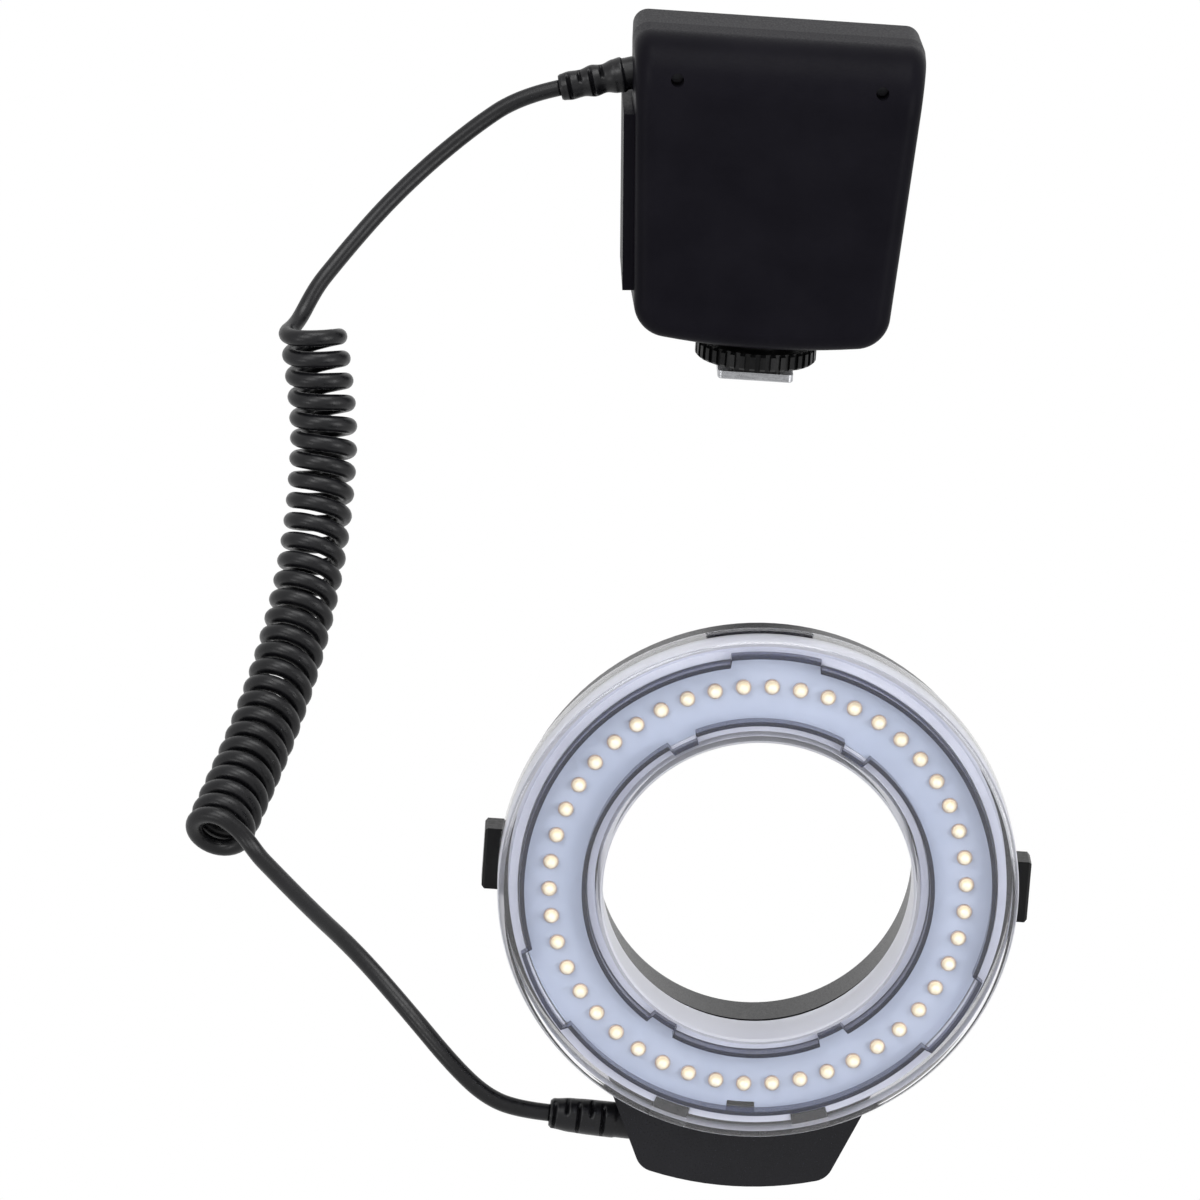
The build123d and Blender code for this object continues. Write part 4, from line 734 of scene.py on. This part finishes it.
@dataclass
class CordBoot:
    """A moulded boot round the cord's end, with soft slots cut in its front, long and short in turn."""

    palette: Palette
    node: str
    # Where the boot leaves the housing, towards -X, and how many degrees below level.
    root: Point
    droop: float
    # Length inside the housing's wall.
    grip: float
    shape_mm: tuple[tuple[float, float], ...]
    slots: int
    first_slot: float
    length: float = 18.0 * MM
    neck_radius: float = 3.97 * MM
    flange_radius: float = 4.6 * MM
    flange: float = 1.6 * MM
    slot_pitch: float = 2.8 * MM
    slot_width: float = 1.3 * MM
    slot_depth: float = 0.9 * MM
    # Degrees from the front towards the top at a slot's middle, and from there to its ends.
    long_slot: tuple[float, float] = (0.0, 68.0)
    short_slot: tuple[float, float] = (52.0, 36.0)
    slot_fade: float = 14.0
    sides: int = 48
    spans: int = 90

    def plain_radius(self, station: float) -> float:
        """Read the boot's radius off its shape, before the slots.

        Args:
            station: distance out from the housing.

        Returns:
            The radius there, eased from each point of the shape to the next.
        """
        shape = [(place * MM, radius * MM) for place, radius in self.shape_mm]
        for (before, near), (after, far) in zip(shape, shape[1:]):
            if station <= after:
                share = (station - before) / (after - before)
                return near + (far - near) * share * share * (3 - 2 * share)
        return shape[-1][1]

    def slot_cut(self, station: float, turn: float) -> float:
        """Tell how deep the slots go at a spot.

        Args:
            station: distance out from the housing.
            turn: degrees from the front towards the top.

        Returns:
            Depth below the plain radius.
        """
        cut = 0.0
        for slot in range(self.slots):
            middle = self.length - self.first_slot - slot * self.slot_pitch
            near = abs(station - middle) / (self.slot_width / 2)
            facing, half = self.short_slot if slot % 2 else self.long_slot
            turned = abs((turn - facing + 180) % 360 - 180)
            if near < 1 and turned < half:
                fade = min(1.0, (half - turned) / self.slot_fade)
                cut = max(cut, fade * (1 + math.cos(math.pi * near)) / 2)
        return cut * self.slot_depth

    def stations(self) -> list[tuple[float, list[float]]]:
        """Give the boot's sections, from its flange inside the housing to its tip.

        Returns:
            Distance out from the housing, and the radius at each corner of the round.
        """
        rear = -self.grip - self.flange
        inner = ((rear, self.flange_radius), (-self.grip, self.flange_radius), (-self.grip, self.neck_radius))
        found = [(station, [radius] * self.sides) for station, radius in inner]
        turns = [360 * corner / self.sides for corner in range(self.sides)]
        for span in range(self.spans + 1):
            station = self.length * span / self.spans
            plain = self.plain_radius(station)
            found.append((station, [plain - self.slot_cut(station, turn) for turn in turns]))
        return found

    def build(self) -> None:
        """Build the boot as one piece."""
        fall = math.radians(self.droop)
        root, way = Vector(self.root), Vector((-math.cos(fall), 0, -math.sin(fall)))
        front = Vector((0, -1, 0))
        up = way.cross(front)
        mesh = bmesh.new()
        rings = []
        for station, radii in self.stations():
            ring = []
            for corner, radius in enumerate(radii):
                angle = 2 * math.pi * corner / self.sides
                out = front * math.cos(angle) + up * math.sin(angle)
                ring.append(mesh.verts.new(root + way * station + out * radius))
            rings.append(ring)
        skin(mesh, rings)
        close_ends(mesh, rings)
        bmesh.ops.recalc_face_normals(mesh, faces=mesh.faces)
        boot = new_piece(f"{self.node}_sleeve", mesh, crease=50.0)
        self.palette.dress(boot, CORD_PVC)
        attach(boot, Body.CONTROLLER.value)
        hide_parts(self.node)
        log.info("%s: %d slots", self.node, self.slots)


# Clear cover


@dataclass
class ClearCover:
    """The clear front cover as a smooth turned shape, with its stepped ribs and snap windows."""

    palette: Palette
    rim_radius: float = 59.0 * MM
    hub_radius: float = 35.2 * MM
    wall: float = 1.5 * MM
    front_y: float = -200.0 * MM
    skirt_y: float = -188.5 * MM
    hub_y: float = -187.0 * MM
    rim_edge: float = 1.4 * MM
    hub_edge: float = 0.6 * MM
    edge_steps: int = 5
    # Steps of the rim's round that are honed like the skirt behind them.
    honed_steps: int = 2
    rim_rib: float = 53.9 * MM
    hub_rib: float = 39.0 * MM
    rib_thick: float = 1.0 * MM
    rib_step: float = 1.7 * MM
    rib_end_y: float = -195.05 * MM
    step_end_y: float = -196.0 * MM
    # Degrees round the head: the middles of the steps and windows, and half of what each takes.
    rim_steps: tuple[float, ...] = (0.0, 120.0, 240.0)
    rim_step_half: float = 11.0
    hub_steps: tuple[float, ...] = (30.0, 150.0, 210.0, 330.0)
    hub_step_half: float = 5.0
    windows: tuple[float, ...] = (163.7, 196.3)
    window_half: float = 4.25
    window_front_y: float = -195.2 * MM
    window_rear_y: float = -193.3 * MM
    turn_steps: int = 720

    def within(self, turn: float, places: tuple[float, ...], half: float) -> bool:
        """Tell whether a turn falls on one of a few places round the cover.

        Args:
            turn: degrees round the head.
            places: the places' middles.
            half: half the angle that each takes.

        Returns:
            True on one of them.
        """
        return any(abs((turn - place + 180) % 360 - 180) < half for place in places)

    def edge_round(self, radius: float, edge: float, start: float) -> list[tuple[float, float]]:
        """Round an edge of the front face by a quarter turn.

        Args:
            radius: where the round's middle is.
            edge: the round's own radius.
            start: degrees at which the quarter turn starts.

        Returns:
            Radius and station of each corner.
        """
        corners = []
        for step in range(self.edge_steps + 1):
            angle = math.radians(start + 90 * step / self.edge_steps)
            corners.append((radius + edge * math.cos(angle), self.front_y + edge - edge * math.sin(angle)))
        return corners

    def rib(self, low: float, shift: float, on_step: bool) -> list[tuple[float, float]]:
        """Give the four corners of a rib behind the front wall.

        Args:
            low: its smaller radius.
            shift: how far a step stands off from the rest of the rib.
            on_step: whether the section runs through a step.

        Returns:
            Radius and station of each corner.
        """
        inside = self.front_y + self.wall
        end = self.step_end_y if on_step else self.rib_end_y
        low += shift if on_step else 0.0
        high = low + self.rib_thick
        return [(low, inside), (low, end), (high, end), (high, inside)]

    def profile(self, turn: float) -> list[tuple[float, float, CoverWall]]:
        """Give the cover's closed section at a turn, from the skirt's outer rear edge on.

        Args:
            turn: degrees round the head.

        Returns:
            Radius and station of each corner, and the kind of wall from there to the next.
        """
        rim, skirt = self.rim_radius, self.rim_radius - self.wall
        hub, bore = self.hub_radius, self.hub_radius + self.wall
        inside = self.front_y + self.wall
        rim_round = self.edge_round(rim - self.rim_edge, self.rim_edge, 0.0)
        hub_round = self.edge_round(hub + self.hub_edge, self.hub_edge, 90.0)
        on_hub_step = self.within(turn, self.hub_steps, self.hub_step_half)
        on_rim_step = self.within(turn, self.rim_steps, self.rim_step_half)
        hub_rib = self.rib(self.hub_rib, -self.rib_step, on_hub_step)
        rim_rib = self.rib(self.rim_rib - self.rib_thick, self.rib_step, on_rim_step)
        stretches = (
            (CoverWall.POLISHED, [(rim, self.skirt_y)]),
            (CoverWall.HONED, [(rim, self.window_rear_y), (rim, self.window_front_y)]),
            (CoverWall.HONED, rim_round[: self.honed_steps]),
            (CoverWall.POLISHED, rim_round[self.honed_steps :]),
            (CoverWall.HONED, [*hub_round, (hub, self.hub_y), (bore, self.hub_y)]),
            (CoverWall.POLISHED, [(bore, inside)]),
            (CoverWall.RIB, hub_rib[:-1]),
            (CoverWall.POLISHED, hub_rib[-1:]),
            (CoverWall.RIB, rim_rib[:-1]),
            (CoverWall.POLISHED, rim_rib[-1:]),
            (CoverWall.HONED, [(skirt, inside), (skirt, self.window_front_y)]),
            (CoverWall.POLISHED, [(skirt, self.window_rear_y), (skirt, self.skirt_y)]),
        )
        return [(*corner, wall) for wall, corners in stretches for corner in corners]

    def turned_sections(self, mesh: bmesh.types.BMesh) -> list[Ring]:
        """Set the section's corners up all round the head.

        Args:
            mesh: the mesh that gets the corners.

        Returns:
            The corners of each section.
        """
        sections = []
        for step in range(self.turn_steps):
            turn = 360 * step / self.turn_steps
            angle = math.radians(turn)
            section = []
            for radius, station, _ in self.profile(turn):
                place = (radius * math.sin(angle), station, HEAD_AXIS_Z + radius * math.cos(angle))
                section.append(mesh.verts.new(place))
            sections.append(section)
        return sections

    def join_sections(self, mesh: bmesh.types.BMesh, sections: list[Ring]) -> None:
        """Join each section to the next, with the snap windows cut through the skirt.

        Args:
            mesh: the mesh that gets the faces.
            sections: the corners of each section.
        """
        outline = self.profile(0.0)
        places = [(radius, station) for radius, station, _ in outline]
        outer = places.index((self.rim_radius, self.window_rear_y))
        inner = places.index((self.rim_radius - self.wall, self.window_front_y))
        middles = [360 * (step + 0.5) / self.turn_steps for step in range(self.turn_steps)]
        cut = [self.within(turn, self.windows, self.window_half) for turn in middles]
        for step, here in enumerate(sections):
            there = sections[(step + 1) % self.turn_steps]
            for corner, (_, _, wall) in enumerate(outline):
                if cut[step] and corner in (outer, inner):
                    continue
                other = (corner + 1) % len(outline)
                face = mesh.faces.new((here[corner], here[other], there[other], there[corner]))
                face.material_index = wall
            if cut[step]:
                mesh.faces.new((here[outer], there[outer], there[inner + 1], here[inner + 1]))
                mesh.faces.new((here[outer + 1], here[inner], there[inner], there[outer + 1]))
            if cut[step] != cut[step - 1]:
                mesh.faces.new((here[outer], here[outer + 1], here[inner], here[inner + 1]))

    def build(self) -> None:
        """Build the cover as one piece."""
        mesh = bmesh.new()
        self.join_sections(mesh, self.turned_sections(mesh))
        bmesh.ops.recalc_face_normals(mesh, faces=mesh.faces)
        cover = new_piece("clear_front_cover", mesh, crease=35.0)
        for finish in (COVER_PC, RIB_WALL_SHADE_PC, SKIRT_PC):
            cover.data.materials.append(self.palette.material(finish))
        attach(cover, Body.CONTROLLER.value)
        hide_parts("clear_cover")
        log.info("clear cover: %d sections", self.turn_steps)


# Lamps


@dataclass
class LampCircle:
    """The circle of small epoxy lamps on the lamp board."""

    palette: Palette
    count: int = 46
    circle_radius: float = 47.25 * MM
    first_turn: float = 7.4
    board_y: float = -195.0 * MM
    collar_radius: float = 1.75 * MM
    collar_straight: float = 0.44 * MM
    collar_height: float = 0.55 * MM
    collar_edge: float = 0.12 * MM
    dome_radius: float = 1.5 * MM
    height: float = 2.3 * MM
    sides: int = 20
    dome_rings: int = 6
    # Ring of the dome from which the crown's painted highlight starts.
    highlight_from: int = 3

    def profile(self) -> list[tuple[float, float, LampBand]]:
        """Give the lamp's outline from the board to the last ring below its tip.

        Returns:
            Radius and height of each corner, and the band from there on.
        """
        outline = [
            (self.collar_radius, 0.0, LampBand.RIM),
            (self.collar_radius, self.collar_straight, LampBand.RIM),
            (self.collar_radius - self.collar_edge, self.collar_height, LampBand.RIM),
        ]
        rise = self.height - self.collar_height
        for ring in range(self.dome_rings):
            angle = math.pi / 2 * ring / self.dome_rings
            radius = self.dome_radius * math.cos(angle)
            band = LampBand.DOME if ring < self.highlight_from else LampBand.CROWN
            outline.append((radius, self.collar_height + rise * math.sin(angle), band))
        return outline

    def add_lamp(self, mesh: bmesh.types.BMesh, foot: Vector) -> None:
        """Add one lamp.

        Args:
            mesh: the mesh that gets it.
            foot: the middle of its foot, on the board.
        """
        outline = self.profile()
        rings = []
        for radius, rise, _ in outline:
            ring = []
            for corner in range(self.sides):
                angle = 2 * math.pi * corner / self.sides
                spot = Vector((radius * math.cos(angle), -rise, radius * math.sin(angle)))
                ring.append(mesh.verts.new(foot + spot))
            rings.append(ring)
        for faces, (_, _, band) in zip(skin(mesh, rings), outline):
            for face in faces:
                face.material_index = band
        tip = mesh.verts.new(foot + Vector((0, -self.height, 0)))
        for corner in range(self.sides):
            face = mesh.faces.new((rings[-1][corner], rings[-1][(corner + 1) % self.sides], tip))
            face.material_index = LampBand.CROWN
        mesh.faces.new(list(reversed(rings[0])))

    def build(self) -> None:
        """Build all the lamps as one piece."""
        mesh = bmesh.new()
        for lamp in range(self.count):
            turn = math.radians(self.first_turn + lamp * 360 / self.count)
            foot = Vector((math.sin(turn), 0, math.cos(turn))) * self.circle_radius
            self.add_lamp(mesh, foot + Vector((0, self.board_y, HEAD_AXIS_Z)))
        bmesh.ops.recalc_face_normals(mesh, faces=mesh.faces)
        lamps = new_piece("lamp_domes", mesh)
        for finish in (LAMP_RIM_SHADE, LAMP_EPOXY, LAMP_CROWN_HIGHLIGHT):
            lamps.data.materials.append(self.palette.material(finish))
        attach(lamps, Body.CONTROLLER.value)
        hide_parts("leds")
        log.info("lamps: %d domes", self.count)


# Return springs

CONTACT_SEAT_Z = 8.0 * MM
CONTACT_TRAVEL = 0.7 * MM
RELEASE_SEAT_X = 9.5 * MM
RELEASE_TRAVEL = 1.5 * MM


@dataclass
class ReturnSpring:
    """A coil spring that pushes a piece back, built once to the size of its part in the frame."""

    palette: Palette
    node: str
    joint: str
    axis: Axis
    # Where the seat that stays put is, along the axis, and how far the joint presses.
    seat: float
    travel: float
    wire: float = 0.34 * MM
    turns: float = 3.0
    steps_per_turn: int = 32
    sides: int = 8

    def build(self) -> None:
        """Build the spring as one piece between its two seats."""
        low, high = (Vector(corner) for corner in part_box(self.node))
        middle = (low + high) / 2
        sizes = list(high - low)
        length = sizes.pop(self.axis)
        radius = (max(sizes) - self.wire) / 2
        way = Vector([float(index == self.axis) for index in range(3)])
        side = way.orthogonal().normalized()
        up = way.cross(side)
        total = round(self.turns * self.steps_per_turn)
        path = []
        for step in range(total + 1):
            share = step / total
            angle = 2 * math.pi * self.turns * share
            out = side * math.cos(angle) + up * math.sin(angle)
            path.append(middle + way * (share - 0.5) * (length - self.wire) + out * radius)
        spring = new_piece(f"{self.node}_coil", round_tube(path, self.wire, self.sides))
        self.palette.dress(spring, SPRING_WIRE)
        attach(spring, Body.CONTROLLER.value)
        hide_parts(self.node)
        anchor = middle.copy()
        anchor[self.axis] = self.seat
        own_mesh(spring)


# Studio


def looked_at(tree: bpy.types.NodeTree) -> bpy.types.NodeSocket:
    """Tell the rays that look at a surface, straight, mirrored or through, from those that light.

    Args:
        tree: the tree that gets the nodes.

    Returns:
        One for camera, glossy and transmission rays, and nought for all others.
    """
    path = add_node(tree, "ShaderNodeLightPath")
    seen = path.outputs["Is Camera Ray"]
    for kind in ("Is Glossy Ray", "Is Transmission Ray"):
        either = add_node(tree, "ShaderNodeMath", {0: seen, 1: path.outputs[kind]}, operation="MAXIMUM")
        seen = either.outputs[0]
    return seen


@dataclass(frozen=True)
class SoftBox:
    """A square lamp with an even face."""

    name: str
    spot: Point
    size: float
    watts: float

    def hang(self, aim: Point) -> None:
        """Hang the lamp in its place.

        Args:
            aim: the point it faces.
        """
        data = bpy.data.lights.new(self.name, "AREA")
        data.shape = "SQUARE"
        data.size = self.size
        data.energy = self.watts
        lamp = bpy.data.objects.new(self.name, data)
        lamp.location = self.spot
        lamp.rotation_mode = "QUATERNION"
        lamp.rotation_quaternion = (Vector(aim) - Vector(self.spot)).to_track_quat("-Z", "Y")
        bpy.context.scene.collection.objects.link(lamp)


SOFTBOXES = (
    SoftBox("key_softbox", (-0.9, -1.3, 1.1), 0.9, 12.5),
    SoftBox("fill_softbox", (1.2, -1.1, 0.3), 0.9, 10.0),
    SoftBox("low_left_softbox", (-1.3, -1.2, -0.3), 0.6, 5.0),
    SoftBox("low_right_softbox", (1.1, -1.3, -0.35), 0.6, 5.0),
    SoftBox("top_softbox", (0.0, -0.35, 1.5), 1.0, 15.0),
)


@dataclass
class Studio:
    """Camera, lamps, pale floor and background."""

    # The camera's place, its angles in degrees and its focal length are fitted to the photograph.
    eye: Point = (-0.0979, -1.9192, 0.4898)
    azimuth: float = 1.91
    elevation: float = 16.01
    roll: float = 4.20
    focal_mm: float = 240.18
    sensor_mm: float = 36.0
    clip: tuple[float, float] = (0.05, 30.0)
    aim: Point = (-0.04, -0.08, -0.03)
    floor_z: float = -0.42
    floor_half: float = 6.0
    room_strength: float = 0.55

    def place_camera(self) -> None:
        """Put the camera where the photograph was taken from."""
        azimuth, elevation, roll = (math.radians(a) for a in (self.azimuth, self.elevation, self.roll))
        ahead = Vector(
            (
                math.sin(azimuth) * math.cos(elevation),
                math.cos(azimuth) * math.cos(elevation),
                -math.sin(elevation),
            )
        )
        right = Vector((math.cos(azimuth), -math.sin(azimuth), 0))
        down = ahead.cross(right)
        x_axis = right * math.cos(roll) - down * math.sin(roll)
        y_axis = right * math.sin(roll) + down * math.cos(roll)
        data = bpy.data.cameras.new("camera")
        data.lens = self.focal_mm
        data.sensor_width = self.sensor_mm
        data.clip_start, data.clip_end = self.clip
        camera = bpy.data.objects.new("camera", data)
        turned = Matrix((x_axis, -y_axis, -ahead)).transposed().to_4x4()
        camera.matrix_world = Matrix.Translation(Vector(self.eye)) @ turned
        bpy.context.scene.collection.objects.link(camera)
        bpy.context.scene.camera = camera

    def light_room(self) -> None:
        """Light the part from the room, and show a white background behind it."""
        world = bpy.data.worlds.new("room")
        bpy.context.scene.world = world
        world.use_nodes = True
        tree = world.node_tree
        tree.nodes.clear()
        paper = linear("#ffffff")
        room = add_node(tree, "ShaderNodeBackground", {"Color": paper, "Strength": self.room_strength})
        white = add_node(tree, "ShaderNodeBackground", {"Color": paper, "Strength": 1.0})
        mix = add_node(
            tree,
            "ShaderNodeMixShader",
            {0: looked_at(tree), 1: room.outputs[0], 2: white.outputs[0]},
        )
        add_node(tree, "ShaderNodeOutputWorld", {"Surface": mix.outputs[0]})

    def lay_floor(self) -> None:
        """Lay a pale floor well below the part, which hangs clear of it."""
        mesh = bmesh.new()
        bmesh.ops.create_grid(mesh, x_segments=1, y_segments=1, size=self.floor_half)
        floor = new_piece("studio_floor", mesh)
        floor.location = (0, 0, self.floor_z)
        material, tree, shader = new_material("pale_floor")
        fill(tree, shader, {"Base Color": linear("#f4f4f4"), "Roughness": 0.9})
        white = add_node(tree, "ShaderNodeEmission", {"Color": linear("#ffffff"), "Strength": 1.0})
        mix = add_node(
            tree,
            "ShaderNodeMixShader",
            {0: looked_at(tree), 1: shader.outputs["BSDF"], 2: white.outputs[0]},
        )
        fill(tree, tree.nodes["Material Output"], {"Surface": mix.outputs["Shader"]})
        floor.data.materials.append(material)

    def build(self) -> None:
        """Set the whole studio up."""
        self.place_camera()
        self.light_room()
        self.lay_floor()
        for softbox in SOFTBOXES:
            softbox.hang(self.aim)
        bpy.context.scene.view_settings.view_transform = "Standard"
        log.info("studio: %d softboxes", len(SOFTBOXES))


def main() -> None:
    """Dress the frame, add the pieces that Blender makes, and set the studio up."""
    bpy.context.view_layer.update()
    palette = Palette()
    for node, finish in NODE_FINISHES.items():
        palette.dress(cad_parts[node], finish)
        log.info("%s: %s", node, finish.name)
    CurlyCord(palette).build()
    CordBoot(
        palette,
        "cord_boot_upper",
        root=(-0.0354832, 0.002, 0.073),
        droop=16.0,
        grip=3.3 * MM,
        shape_mm=UPPER_BOOT_SHAPE,
        slots=4,
        first_slot=2.4 * MM,
    ).build()
    CordBoot(
        palette,
        "cord_boot_lower",
        root=(-0.0249, -0.1818, -0.1332),
        droop=-3.0,
        grip=4.2 * MM,
        shape_mm=LOWER_BOOT_SHAPE,
        slots=5,
        first_slot=1.0 * MM,
    ).build()
    ClearCover(palette).build()
    LampCircle(palette).build()
    for node, joint, axis, seat, travel in (
        ("contact_spring", "contact_press", Axis.Z, CONTACT_SEAT_Z, CONTACT_TRAVEL),
        ("release_spring_left", "release_left_press", Axis.X, RELEASE_SEAT_X, RELEASE_TRAVEL),
        ("release_spring_right", "release_right_press", Axis.X, -RELEASE_SEAT_X, RELEASE_TRAVEL),
    ):
        ReturnSpring(palette, node, joint, axis, seat, travel).build()
    Studio().build()


if __name__ == "__main__":
    main()
